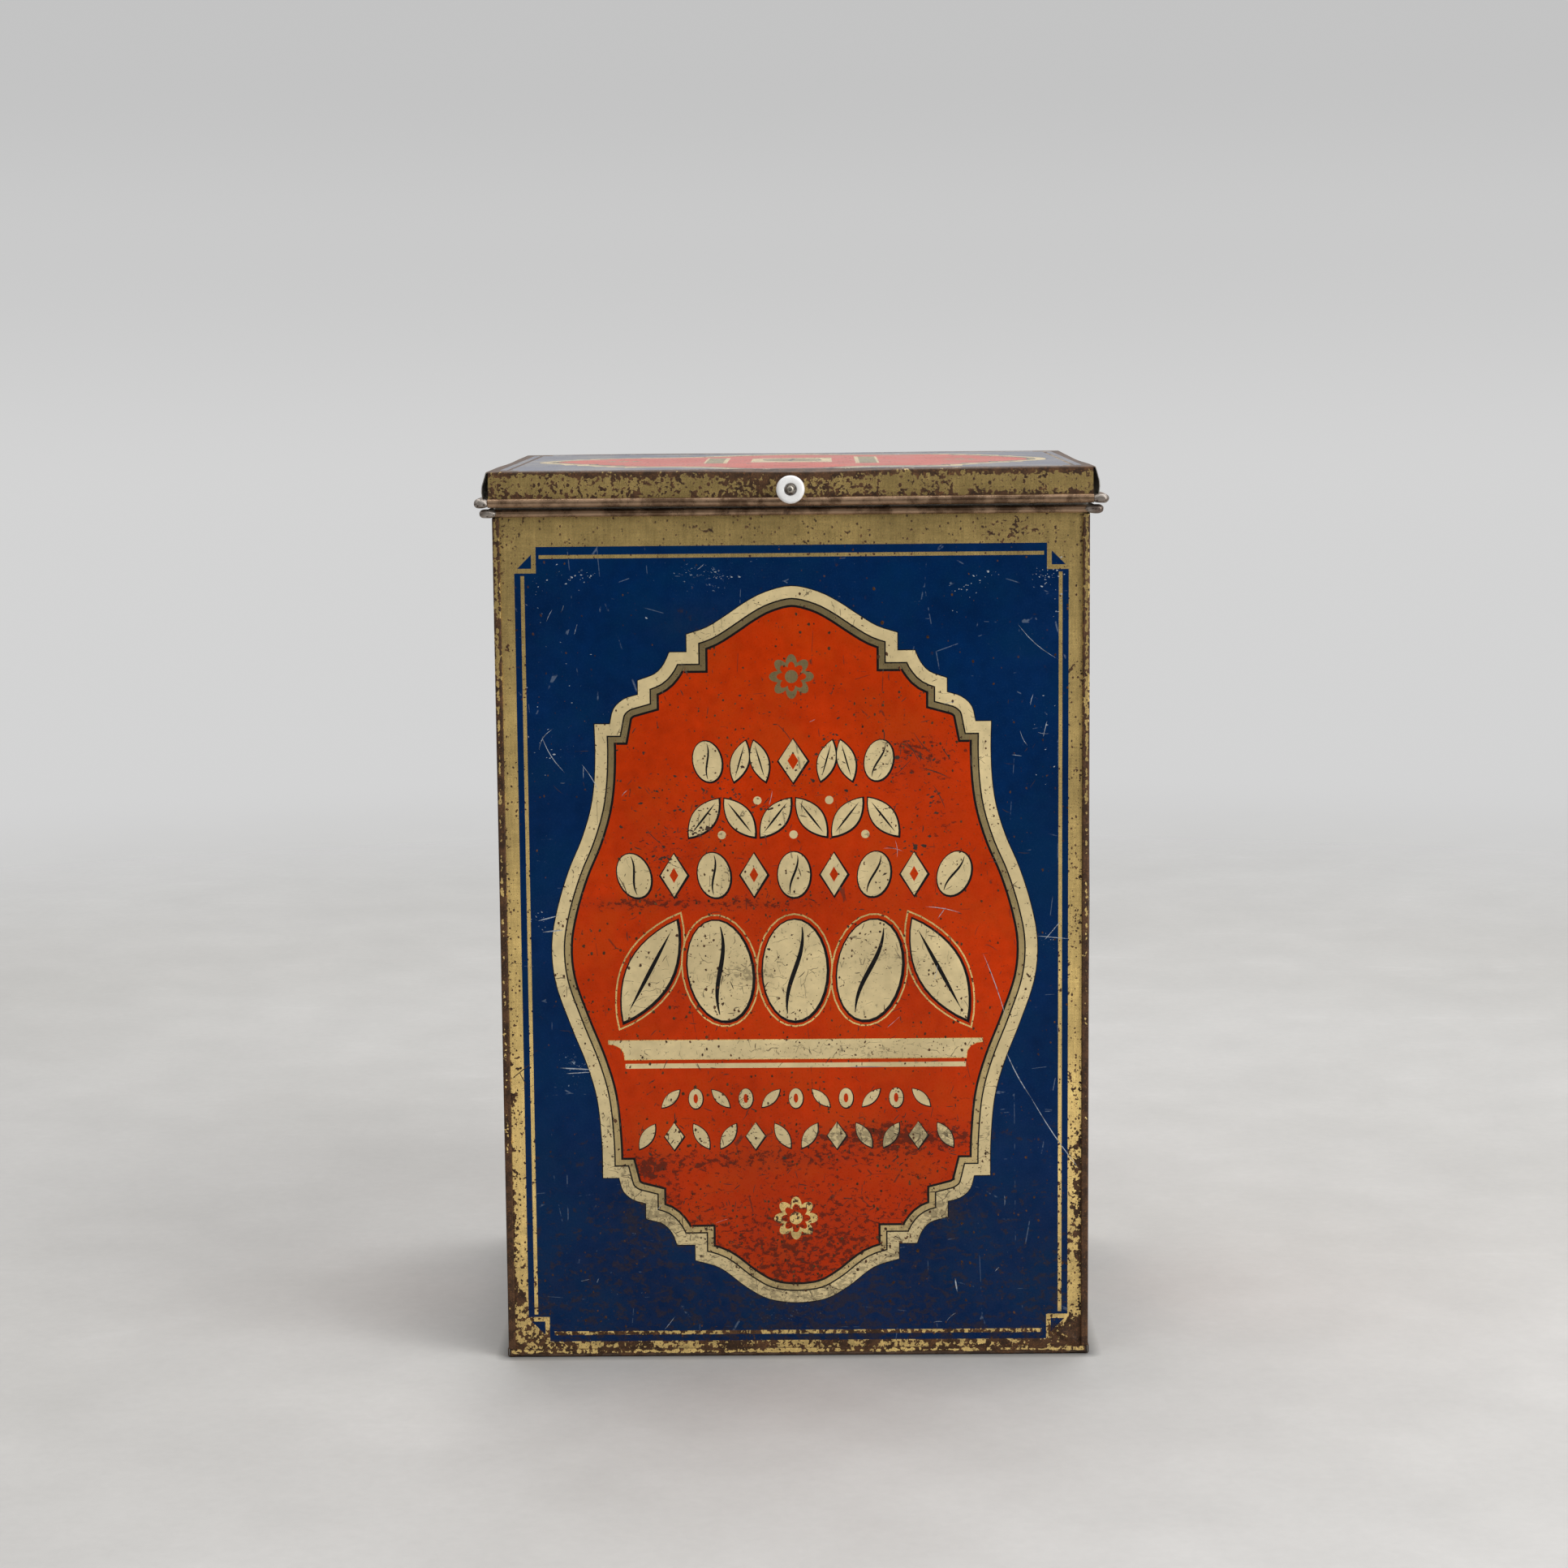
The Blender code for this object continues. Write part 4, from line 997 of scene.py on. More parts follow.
def side_panel(name, node, sign, prints, wear, bulge):
    """Left (sign -1) or right (sign +1) wall, with the strips that wrap the corners and close the seams."""
    pitch = T + GAP
    reach = HD - T / 2 + 3 * pitch
    inner = HD - T / 2 + pitch
    r = 0.75
    x_mid = HW - T / 2
    path = Path(HW - 1.6, -inner, 180).line(HW - 1.6 - (HW - SEAM_W + pitch)).arc(pitch, 180)
    fold = path.length
    path.line(x_mid - r - (HW - SEAM_W + pitch)).arc(r, 90)
    flat0 = path.length
    path.line(2 * (reach - r))
    flat1 = path.length
    path.arc(r, 90).line(x_mid - r - (HW - SEAM_W + pitch))
    fold2 = path.length
    path.arc(pitch, 180).line(1.0)
    end = path.length
    mid = (flat0 + flat1) / 2
    trim = HD - 0.5
    ua, ub = mid - trim, mid + trim
    bends = spaced(0, fold, 0.35) + spaced(fold, flat0, 0.35) + spaced(flat1, fold2, 0.35) + spaced(fold2, end, 0.35)
    flat_columns = spaced(ua, ub, 5.0) + [ua + 1.2, ua + 2.8, ub - 1.2, ub - 2.8]
    columns = sorted({round(c, 5) for c in bends + flat_columns})
    corners = [(ua, WALL_Z0), (ub, WALL_Z0), (ub, SEAM_Z0), (end, SEAM_Z0), (end, SEAM_Z1), (ub, SEAM_Z1), (ub, V_TOP), (ua, V_TOP), (ua, SEAM_Z1), (0, SEAM_Z1), (0, SEAM_Z0), (ua, SEAM_Z0)]
    border = subdivide(corners, 6.0, columns, ROWS)
    curl = wall_curl()

    def surface(u, v):
        x, y = path.at(u)
        e = 1e-3
        x2, y2 = path.at(u + e)
        tx, ty = (x2 - x) / e, (y2 - y) / e
        out, z = curl.at(np.clip(v, 0, None))
        d = bulge(u - mid, v) * smooth(RIM_Z + 6 - v, 0, 10)
        x, y = x + ty * (out + d), y - tx * (out + d)
        return np.stack([sign * x, sign * y, z], 1)

    def shifted_wear(u, v):
        out = wear(u - mid, v)
        a = np.abs(u - mid)
        strip = a > (flat1 - mid) - 0.2
        edge = bell(a - (fold2 - mid), 0.75) + 0.8 * bell(a - (flat1 - mid) - 0.6, 0.55)
        low = 1 - smooth(v, 0, 400)
        rust = np.where(strip, 0.36 + 0.95 * low**0.7 + 0.75 * edge + 1.0 * np.exp(-np.clip(v - 4, 0, None) / 4.0), out["rust"])
        out["rust"] = np.clip(rust, 0, 1.8)
        return out

    moved = [(m, [(x + mid, y) for x, y in outline]) for m, outline in prints]
    grid = lattice_points(columns, ROWS, border, 0.12)
    return sheet(name, border, moved, grid, surface, shifted_wear, wall_back, "tin", [node])


def edge_fade(u, v, half_w):
    return smooth(half_w - np.abs(u), 2, 34) * smooth(v, 3, 45) * smooth(RIM_Z - v, 2, 45)


def in_frame(x, y):
    return abs(x) < 84 and 62 < y < 335


def in_field(x, y):
    """On the blue, outside the frame."""
    return abs(x) > 118 or y > 376 or y < 24 or (abs(x) > 98 and (y > 262 or y < 140)) or (abs(x) > 66 and (y > 340 or y < 60))


def worn_lines(seed, half_w, keep_x=1.0):
    out = random_scratches(seed, 18, half_w, 12, 388, (2, 9), (0.14, 0.26), "pale_line", lambda x, y: in_field(x * keep_x, y))
    out += random_scratches(seed + 1, 190, 84 / keep_x, 60, 336, (0.9, 5.5), (0.20, 0.50), "dark_line", lambda x, y: in_frame(x * keep_x, y))
    out += random_scratches(seed + 4, 120, 78 / keep_x, 34, 128, (0.9, 5), (0.20, 0.55), "dark_line", lambda x, y: abs(x * keep_x) < 20 + (y - 30) * 1.1)
    out += random_scratches(seed + 2, 10, 84 / keep_x, 62, 330, (3, 10), (0.14, 0.24), "pale_line", lambda x, y: in_frame(x * keep_x, y))
    out += random_scratches(seed + 3, 30, half_w, 150, 320, (2, 7), (0.16, 0.30), "dark_line", lambda x, y: 84 < abs(x * keep_x) < 116, (80, 30))
    return out


FRONT_SCRATCHES = [
    sliver((89.6, 197.0), (100.8, 164.6), 0.34, "pale_line", 0.6),
    sliver((100.8, 148.5), (112.8, 126.0), 0.46, "pale_line", -0.7),
    sliver((112.2, 127.0), (136.2, 90.6), 0.40, "pale_line", -0.9),
    sliver((119.0, 203.0), (127.0, 212.5), 0.34, "pale_line"),
    sliver((115.0, 205.0), (131.0, 203.4), 0.30, "pale_line"),
    sliver((62.0, 219.5), (79.0, 216.4), 0.32, "pale_line", 0.6),
    sliver((68.0, 213.5), (72.0, 219.0), 0.30, "pale_line"),
    sliver((-118.5, 302.0), (-108.0, 285.0), 0.34, "pale_line", -1.2),
    sliver((-120.0, 296.0), (-113.0, 306.0), 0.30, "pale_line", 1.6),
    sliver((-100.0, 289.0), (-92.0, 276.0), 0.30, "pale_line", 0.5),
    sliver((106.0, 354.0), (125.0, 337.0), 0.26, "pale_line", -1.5),
    sliver((-122.0, 214.0), (-112.0, 216.5), 0.55, "pale_line"),
    sliver((-120.0, 208.5), (-110.0, 209.5), 0.60, "pale_line"),
    sliver((-113.0, 142.6), (-97.0, 141.6), 0.60, "pale_line"),
    sliver((-110.0, 139.8), (-98.0, 140.4), 0.40, "pale_line"),
    sliver((76.0, 37.5), (77.0, 31.0), 0.60, "pale_line"),
    sliver((52.0, 300.0), (60.0, 288.0), 0.42, "dark_line", 0.8),
    sliver((57.0, 303.0), (66.0, 292.0), 0.36, "dark_line", -0.7),
    sliver((60.0, 286.0), (74.0, 281.0), 0.50, "dark_line", 0.6),
    sliver((66.0, 278.0), (72.0, 266.0), 0.40, "dark_line", 0.5),
    sliver((49.0, 283.0), (56.0, 290.0), 0.34, "dark_line"),
    sliver((70.0, 296.0), (75.0, 289.0), 0.46, "dark_line"),
    sliver((-8.0, 308.0), (0.0, 298.0), 0.36, "dark_line", 0.6),
    sliver((-70.0, 258.0), (-62.0, 250.0), 0.40, "dark_line", -0.5),
    sliver((-84.0, 236.0), (-78.0, 222.0), 0.40, "dark_line", 0.7),
    sliver((-136.5, 137.0), (-126.5, 145.0), 0.50, "dark_line"),
    sliver((-132.5, 141.0), (-129.0, 134.0), 0.45, "dark_line"),
]


def front_bulge(u, v):
    d = (0.22 * waves(u, v, 3, 150) + 0.10 * waves(u, v, 4, 62)) * edge_fade(u, v, HW - 4)
    d = d - 0.45 * bell(segment_distance(u, v, (112, 22), (133, 6)), 5.5) * smooth(136.2 - u, 0, 8)
    d = d + 0.95 * bell(segment_distance(u, v, (121, 14), (134, 6.5)), 1.9) * smooth(136.2 - u, 0, 3)
    return d


FRONT_FLECKS = [
    mark
    for n, (cx, cy, rx, ry, count) in enumerate(
        [(-33, 374.5, 7.5, 3.0, 46), (-44, 371, 5, 3, 14), (-62, 361, 4, 2, 12), (-101, 378, 6, 2.6, 24), (-120, 372, 2, 6, 10), (119, 376, 5, 3.5, 36), (125, 364, 3, 5, 20), (93, 376, 4, 2, 12), (79, 371, 4, 2, 12), (-119, 214, 5, 4, 22), (-113, 296, 5, 7, 12), (-104, 142, 6, 2, 14), (117, 204, 5, 4, 14), (120, 300, 4, 14, 14), (60, 362, 14, 5, 16), (-112, 330, 8, 16, 16)]
    )
    for mark in flecks(310 + n, cx, cy, rx, ry, count)
]
FRONT_FLECKS = [m for m in FRONT_FLECKS if all(in_field(x, y) and abs(x) < 129 and 9 < y < 391 for x, y in m[1])]
FRONT_SPECKS = [
    mark
    for n, (cx, cy, rx, ry, count) in enumerate([(-20, 278, 26, 8, 120), (-55, 250, 14, 9, 80), (-62, 272, 8, 10, 40), (40, 285, 22, 10, 80), (62, 262, 10, 12, 60), (0, 318, 30, 10, 40), (-20, 325, 14, 8, 16), (0, 205, 60, 20, 80), (0, 100, 45, 16, 60)])
    for mark in flecks(410 + n, cx, cy, rx, ry, count, "dark_line", (0.38, 0.85))
]
FRONT_SPECKS += [
    mark
    for n, (cx, cy, rx, ry, count) in enumerate([(-41, 274, 3.0, 1.5, 10), (-60, 244, 3.5, 1.6, 14), (-44, 258, 3.5, 1.6, 10), (-29, 274, 2.5, 1.0, 7), (-36, 264, 1.8, 3.0, 7), (-12, 268, 4.0, 1.5, 8), (48, 292, 4.0, 2.0, 10), (66, 270, 2.5, 5.0, 12), (20, 300, 3.0, 1.5, 7), (60, 248, 3.0, 2.0, 8)])
    for mark in flecks(430 + n, cx, cy, rx, ry, count, "dark_line", (0.7, 1.45))
]
FRONT_SPECKS = [m for m in FRONT_SPECKS if all(in_frame(x, y) for x, y in m[1])]
# the pale frame is pitted all the way round
PITS = flecks(451, 0, 195, 95, 120, 2200, "dark_line", (0.28, 0.62))
PIT_AT = np.array([np.mean(m[1], axis=0) for m in PITS])
ON_FRAME = inside(PIT_AT, cartouche()) & ~inside(PIT_AT, offset_polygon(cartouche(), 9.0))
FRONT_SPECKS += [m for m, kept in zip(PITS, ON_FRAME) if kept]

front_wear = panel_wear(
    HW - 3.3,
    [(-101, 378, 9, 0.30), (-34, 374, 10, 0.32), (-62, 362, 7, 0.25), (-46, 380, 8, 0.2), (120.5, 377, 7, 0.30), (126, 366, 6, 0.3), (93, 376, 5, 0.2), (80, 371, 6, 0.2), (-121, 215, 8, 0.55), (-116, 296, 8, 0.4), (-104, 142, 9, 0.55), (118, 204, 7, 0.5), (64, 148, 10, 0.35), (-35, 190, 30, 0.25), (30, 236, 26, 0.2), (0, 45, 30, 0.3), (-75, 60, 20, 0.3), (20, 370, 9, 0.35)],
    [(0, 190, 80, 30, 0.16), (-30, 240, 50, 14, 0.12), (60, 290, 22, 13, 0.38), (72, 262, 14, 16, 0.30), (-66, 250, 16, 10, 0.25), (0, 312, 50, 12, 0.10), (-72, 222.5, 34, 3.0, 0.80), (-18, 221, 26, 2.6, 0.45), (40, 224, 40, 2.2, 0.30), (44, 108, 46, 7.0, 0.85), (-16, 97, 60, 5.0, 0.50), (-70, 92, 16, 8, 0.45), (-22, 187, 16, 5, 0.55), (52, 194, 20, 5, 0.40), (-62, 176, 18, 10, 0.35), (-70, 70, 16, 10, 0.40), (72, 72, 14, 10, 0.45), (0, 60, 70, 22, 0.20), (0, 28, 60, 7, 0.15), (20, 150, 60, 5, 0.45), (-48, 356, 26, 9, 0.30), (0, 9, 130, 6, 0.06)],
    [(-134, 29, 5, 3.2, 0.80), (-136, 6, 6, 6, 0.15), (133, 9, 11, 8, 0.42), (118, 4, 16, 4, 0.22), (-20, 4, 30, 3, 0.20), (134, 78, 4, 26, 0.22), (-134, 118, 4, 18, 0.25)],
)
back_wear = panel_wear(
    HW - 3.3,
    [(-80, 340, 16, 0.6), (40, 378, 14, 0.6), (110, 300, 10, 0.6), (-120, 120, 12, 0.6), (70, 90, 14, 0.5), (0, 220, 30, 0.3)],
    [(-30, 230, 50, 6, 0.4), (40, 120, 50, 12, 0.4), (0, 30, 90, 12, 0.3), (82, 388, 22, 8, 0.5), (-82, 388, 22, 8, 0.5)],
    [(-128, 10, 14, 9, 0.6), (128, 8, 12, 8, 0.5), (-131, 200, 4, 30, 0.3)],
)
left_wear = panel_wear(
    HD - 0.5,
    [(-50, 350, 16, 0.7), (60, 380, 12, 0.6), (80, 200, 10, 0.6), (-86, 150, 10, 0.5), (20, 100, 18, 0.4)],
    [(0, 240, 50, 8, 0.35), (-20, 110, 50, 10, 0.45), (0, 25, 80, 12, 0.35), (100, 200, 10, 90, 0.2)],
    [(-104, 10, 14, 9, 0.6), (104, 8, 12, 8, 0.5), (-106, 220, 4, 30, 0.35)],
)
right_wear = panel_wear(
    HD - 0.5,
    [(40, 360, 14, 0.7), (-70, 330, 14, 0.6), (-95, 215, 12, 0.9), (86, 120, 10, 0.6), (0, 80, 18, 0.4)],
    [(-92, 225, 14, 38, 0.35), (30, 200, 40, 10, 0.35), (0, 95, 50, 12, 0.4), (0, 25, 80, 12, 0.35)],
    [(-104, 10, 14, 9, 0.6), (104, 8, 12, 8, 0.5), (-106, 220, 4, 30, 0.35)],
)


def back_bulge(u, v):
    return (0.26 * waves(u, v, 13, 150) + 0.12 * waves(u, v, 14, 70)) * edge_fade(u, v, HW - 4) * smooth(372 - v, -6, 30)


def left_bulge(u, v):
    d = (0.30 * waves(u, v, 23, 140) + 0.12 * waves(u, v, 24, 66)) * edge_fade(u, v, HD - 2)
    return d - 0.8 * bell(np.hypot(u - 30, (v - 120) * 0.8), 22)


def right_bulge(u, v):
    d = (0.25 * waves(u, v, 33, 140) + 0.12 * waves(u, v, 34, 66)) * edge_fade(u, v, HD - 2)
    out = 1.9 * np.exp(-(((u + 78) / 36) ** 2) - ((v - 218) / 44) ** 2) * smooth(HD + 0.3 - np.abs(u), 0, 10)
    return d + out


front = face_panel("front_wall", "front_panel", -1, front_print() + FRONT_SCRATCHES + FRONT_FLECKS + FRONT_SPECKS + worn_lines(21, 122), front_wear, front_bulge)
back = face_panel("back_wall", "back_panel", 1, front_print() + worn_lines(33, 122), back_wear, back_bulge)
left = side_panel("left_wall", "left_panel", -1, side_print() + worn_lines(45, 96, 1.27), left_wear, left_bulge)
right = side_panel("right_wall", "right_panel", 1, side_print() + worn_lines(57, 96, 1.27), right_wear, right_bulge)

# ------------------------------------------------------------------ the lid

FALL = LID_MID_Z - LID_WIRE_Z
FLARE = LID_OVER_SKIRT - LID_OVER_TOP
TILT = math.degrees(math.atan2(FLARE, FALL))
BEND_R = 1.0


def skirt_path(half_top):
    """From the lid's middle out along the top, down the flared skirt and out round the wire."""
    turn = 90 - TILT
    back_off = BEND_R * math.tan(math.radians(turn / 2))
    a0 = half_top - T / 2
    return Path(0, LID_MID_Z, 0).line(a0 - back_off).arc(BEND_R, -turn).line(math.hypot(FALL, FLARE) - back_off).arc(LID_ROLL, CURL)


def lid_print():
    hx, hy = HW + LID_OVER_TOP, HD + LID_OVER_TOP
    out = []
    x, y, n = hx - 5.5, hy - 5.0, 9.5
    out.append(("blue", [(-x + n, -y), (x - n, -y), (x - n, -y + n), (x, -y + n), (x, y - n), (x - n, y - n), (x - n, y), (-x + n, y), (-x + n, y - n), (-x, y - n), (-x, -y + n), (-x + n, -y + n)]))
    w = 1.7
    xi, yi = x - 3.2, y - 3.2
    out.append(("gold", rectangle(-x + n + 1.4, yi - w, x - n - 1.4, yi)))
    out.append(("gold", rectangle(-x + n + 1.4, -yi, x - n - 1.4, -yi + w)))
    out.append(("gold", rectangle(-xi, -y + n + 1.4, -xi + w, y - n - 1.4)))
    out.append(("gold", rectangle(xi - w, -y + n + 1.4, xi, y - n - 1.4)))
    # the wall's frame turned on its side
    tall = cartouche(0.88, 0.735, 0.0)
    wide = [(-(b), a) for a, b in [(p[0], p[1]) for p in tall]]
    out += frame_print(wide)
    for sx in (-1, 1):
        out.append(("cream", rectangle(min(sx * 31.5, sx * 43.0), -40, max(sx * 31.5, sx * 43.0), 44)))
        out.append(("olive", rectangle(min(sx * 33.5, sx * 42.0), -40, max(sx * 33.5, sx * 42.0), 44)))
        out.append(("olive", rosette(sx * 84, 0, 9.5)))
        out.append(("red", rosette(sx * 84, 0, 6.2)))
        out.append(("olive", oval(sx * 84, 0, 2.8, 2.8)))
    out.append(("cream", rectangle(-20, -28, 20, 32)))
    bean(out, 0, 2, 13.5, 21, 12, 0.9, ink="olive")
    return out


def build_lid():
    px, py = skirt_path(HW + LID_OVER_TOP), skirt_path(HD + LID_OVER_TOP)
    fold_x, fold_y = px.runs[1][0], py.runs[1][0]
    curl_x, curl_y = px.runs[3][0], py.runs[3][0]
    end_x, end_y = px.length, py.length
    # the flat top's blank ends where the side it lacks would begin to bend
    top_x, top_y = fold_x + 0.9, fold_y + 0.9
    wide, deep = min(HW + LID_OVER_TOP - 1.3, top_x - 0.3), min(HD + LID_OVER_TOP - 0.75, top_y - 0.3)
    bend_x = [fold_x + (px.runs[2][0] - fold_x) * k / 5 for k in range(6)]
    bend_y = [fold_y + (py.runs[2][0] - fold_y) * k / 5 for k in range(6)]
    roll_x = [curl_x + (end_x - curl_x) * k / 20 for k in range(21)]
    roll_y = [curl_y + (end_y - curl_y) * k / 20 for k in range(21)]
    pos_x = spaced(0, fold_x, 6.0) + bend_x + spaced(px.runs[2][0], curl_x, 3.0) + roll_x
    pos_y = spaced(0, fold_y, 6.0) + bend_y + spaced(py.runs[2][0], curl_y, 3.0) + roll_y
    cols = sorted({round(s * a, 5) for a in pos_x for s in (-1, 1)})
    rows = sorted({round(s * a, 5) for a in pos_y for s in (-1, 1)})
    half = [
        (wide, -end_y), (wide, -top_y), (top_x, -top_y), (top_x, -deep), (end_x, -deep),
        (end_x, deep), (top_x, deep), (top_x, top_y), (wide, top_y), (wide, end_y),
    ]
    corners = half + [(-x, y) for x, y in reversed(half)]
    border = subdivide(corners, 6.0, cols, rows)

    def warp(x, y):
        """How far the thin top has sagged and twisted, in mm, read on the top's own plane."""
        dip = -1.25 * bell(x + 8, 34) * smooth(-y, 20, HD) - 0.9 * bell(x - 18, 26) * smooth(-y, 40, HD)
        can = 0.55 * waves(x, y, 71, 170) + 0.16 * waves(x, y, 72, 60)
        fade = smooth(HW + 3 - np.abs(x), 0, 40) * smooth(HD + 3 - np.abs(y), 0, 40)
        edge = 0.22 * waves(x, y, 73, 110)
        corner = 0.28 * smooth(x, 60, HW) * smooth(-y, 40, HD)
        return np.minimum(dip * 0.62 + can * fade + edge * 0.6 + corner - 0.25, 0.0)

    def surface(u, v):
        ax, zx = px.at(np.abs(u))
        ay, zy = py.at(np.abs(v))
        x, y = np.sign(u) * ax, np.sign(v) * ay
        z = zx + zy - LID_MID_Z
        cx, cy = np.clip(x, -HW - 2, HW + 2), np.clip(y, -HD - 2, HD + 2)
        drop = LID_MID_Z - z
        keep = 1 - 0.72 * smooth(drop, 0.5, FALL)
        z = z + warp(cx, cy) * keep
        # the skirts' lower edges wander a little in and out, the tops bow inwards at the sides
        sway = 0.28 * waves(x, y, 77, 120) * smooth(drop, 1, FALL)
        y = y + np.where(np.abs(v) > fold_y, np.sign(v) * sway * 0.6, 0)
        bow = -0.85 * bell(y - 6, 62) * (1 - 0.8 * smooth(drop, 0, FALL)) * smooth(np.abs(x), HW - 30, HW)
        x = x + np.sign(x) * bow + np.where(np.abs(u) > fold_x, np.sign(u) * sway * 0.4, 0)
        lift = smooth(np.abs(y), HD - 26, HD + 2) * smooth(drop, 0.5, 7) * (1 - 0.75 * smooth(drop, FALL * 0.62, FALL))
        x = x + np.where(np.abs(u) > fold_x, np.sign(u) * 1.35 * lift, 0)
        return np.stack([x, y, z], 1)

    def wear(u, v):
        x, y = np.abs(u), np.abs(v)
        out_u, out_v = x - fold_x, y - fold_y
        outer = np.maximum(out_u, out_v)
        skirt_len = curl_y - fold_y
        on_skirt = outer > 0.3
        along = np.where(out_v > out_u, u, v)
        near_fold = bell(outer - 0.6, 1.9)
        near_bead = bell(outer - skirt_len, 2.9)
        middle = waves(along, outer, 81, 28)
        skirt = 0.60 + 0.62 * near_fold + 0.46 * near_bead + 0.07 * middle + 0.13 * bell(u + 8, 26) * (v < 0)
        edge = np.exp(np.clip(outer, None, 0) / 4.5)
        top = 0.46 + 1.1 * edge + 0.45 * np.exp(-(HW - x) / 9.0) + 0.16 * waves(u, v, 82, 50)
        rust = np.where(on_skirt, skirt, top)
        chip = np.where(on_skirt, 0.2, 0.35 + 0.2 * waves(u, v, 83, 60))
        grime = np.where(on_skirt, 0.12 + 0.3 * near_bead, 0.14 + 0.1 * waves(u, v, 84, 90))
        return {"rust": np.clip(rust, 0, 1.8), "chip": np.clip(chip, 0, 1.2), "grime": np.clip(grime, 0, 1)}

    def back_of(u, v):
        return "brown" if abs(u) > curl_x - 1.5 or abs(v) > curl_y - 1.5 else "inside"

    grid = lattice_points(cols, rows, border, 0.12)
    lines = random_scratches(91, 60, 118, -98, 98, (5, 30), (0.25, 0.6), "pale_line", None, (20, 30))
    lines += random_scratches(92, 50, 118, -98, 98, (4, 20), (0.25, 0.6), "dark_line", None, (20, 30))

    def face_of(key, u, v):
        return "top_" + key if key in INKS and abs(u) < fold_x + 0.8 and abs(v) < fold_y + 0.8 else key

    return sheet("lid_sheet", border, lid_print() + lines, grid, surface, wear, back_of, "lid", ["lid_shell"], face_of=face_of)


lid = build_lid()

# ------------------------------------------------------------------ base pan


def build_base():
    ax, ay = HW + GAP + T / 2, HD + GAP + T / 2
    rise = 3.9 - T / 2
    r = 0.8

    def rim(a):
        return Path(0, T / 2, 0).line(a - r).arc(r, 90).line(rise - r)

    px, py = rim(ax), rim(ay)
    fold_x, fold_y = px.runs[1][0], py.runs[1][0]
    wide, deep = ax - 1.1, ay - 0.9
    top_x, top_y = fold_x + 0.55, fold_y + 0.55
    wide, deep = min(wide, top_x - 0.2), min(deep, top_y - 0.2)
    pos_x = spaced(0, fold_x, 12.0) + [fold_x + (px.runs[2][0] - fold_x) * k / 5 for k in range(6)] + spaced(px.runs[2][0], px.length, 1.5)
    pos_y = spaced(0, fold_y, 12.0) + [fold_y + (py.runs[2][0] - fold_y) * k / 5 for k in range(6)] + spaced(py.runs[2][0], py.length, 1.5)
    cols = sorted({round(s * a, 5) for a in pos_x for s in (-1, 1)})
    rows = sorted({round(s * a, 5) for a in pos_y for s in (-1, 1)})
    end_x, end_y = px.length, py.length
    half = [(wide, -end_y), (wide, -top_y), (top_x, -top_y), (top_x, -deep), (end_x, -deep), (end_x, deep), (top_x, deep), (top_x, top_y), (wide, top_y), (wide, end_y)]
    border = subdivide(half + [(-x, y) for x, y in reversed(half)], 12.0, cols, rows)

    def surface(u, v):
        x, zx = px.at(np.abs(u))
        y, zy = py.at(np.abs(v))
        z = zx + zy - T / 2
        dish = 0.35 * smooth(HW - np.abs(u), 4, 30) * smooth(HD - np.abs(v), 4, 30) * (1 + 0.5 * waves(u, v, 61, 130))
        return np.stack([np.sign(u) * x, -np.sign(v) * y, z + dish], 1)

    # the border's gold runs a little way down the rim, mostly rusted away
    prints = []
    for s in (-1, 1):
        lo, hi = sorted((s * (end_y - 2.3), s * (end_y - 0.04)))
        prints.append(("gold", rectangle(-wide + 0.6, lo, wide - 0.6, hi)))
        lo, hi = sorted((s * (end_x - 2.3), s * (end_x - 0.04)))
        prints.append(("gold", rectangle(lo, -deep + 0.6, hi, deep - 0.6)))

    def wear(u, v):
        up = np.maximum(np.abs(v) - (end_y - 2.4), np.abs(u) - (end_x - 2.4))
        return {"rust": 0.98 - 0.42 * bell(up - 1.25, 0.75) + 0.12 * waves(u, v, 62, 40), "chip": 0.1, "grime": 0.2}

    grid = lattice_points(cols, rows, border, 0.12)
    return sheet("base_tray", border, prints, grid, surface, wear, lambda u, v: "base", "tin", ["base_pan"], base="base")


base = build_base()

# ------------------------------------------------------------------ solder, knob and its screw


def smooth_object(name, bm, material, body, slot, *nodes):
    bmesh.ops.recalc_face_normals(bm, faces=bm.faces)
    mesh = bpy.data.meshes.new(name)
    bm.to_mesh(mesh)
    bm.free()
    mesh.materials.append(material)
    mesh.shade_smooth()
    mesh.set_sharp_from_angle(angle=math.radians(42))
    obj = bpy.data.objects.new(name, mesh)
    bpy.context.scene.collection.objects.link(obj)
    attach(obj, body)
    if nodes:
        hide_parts(*nodes)
    return obj


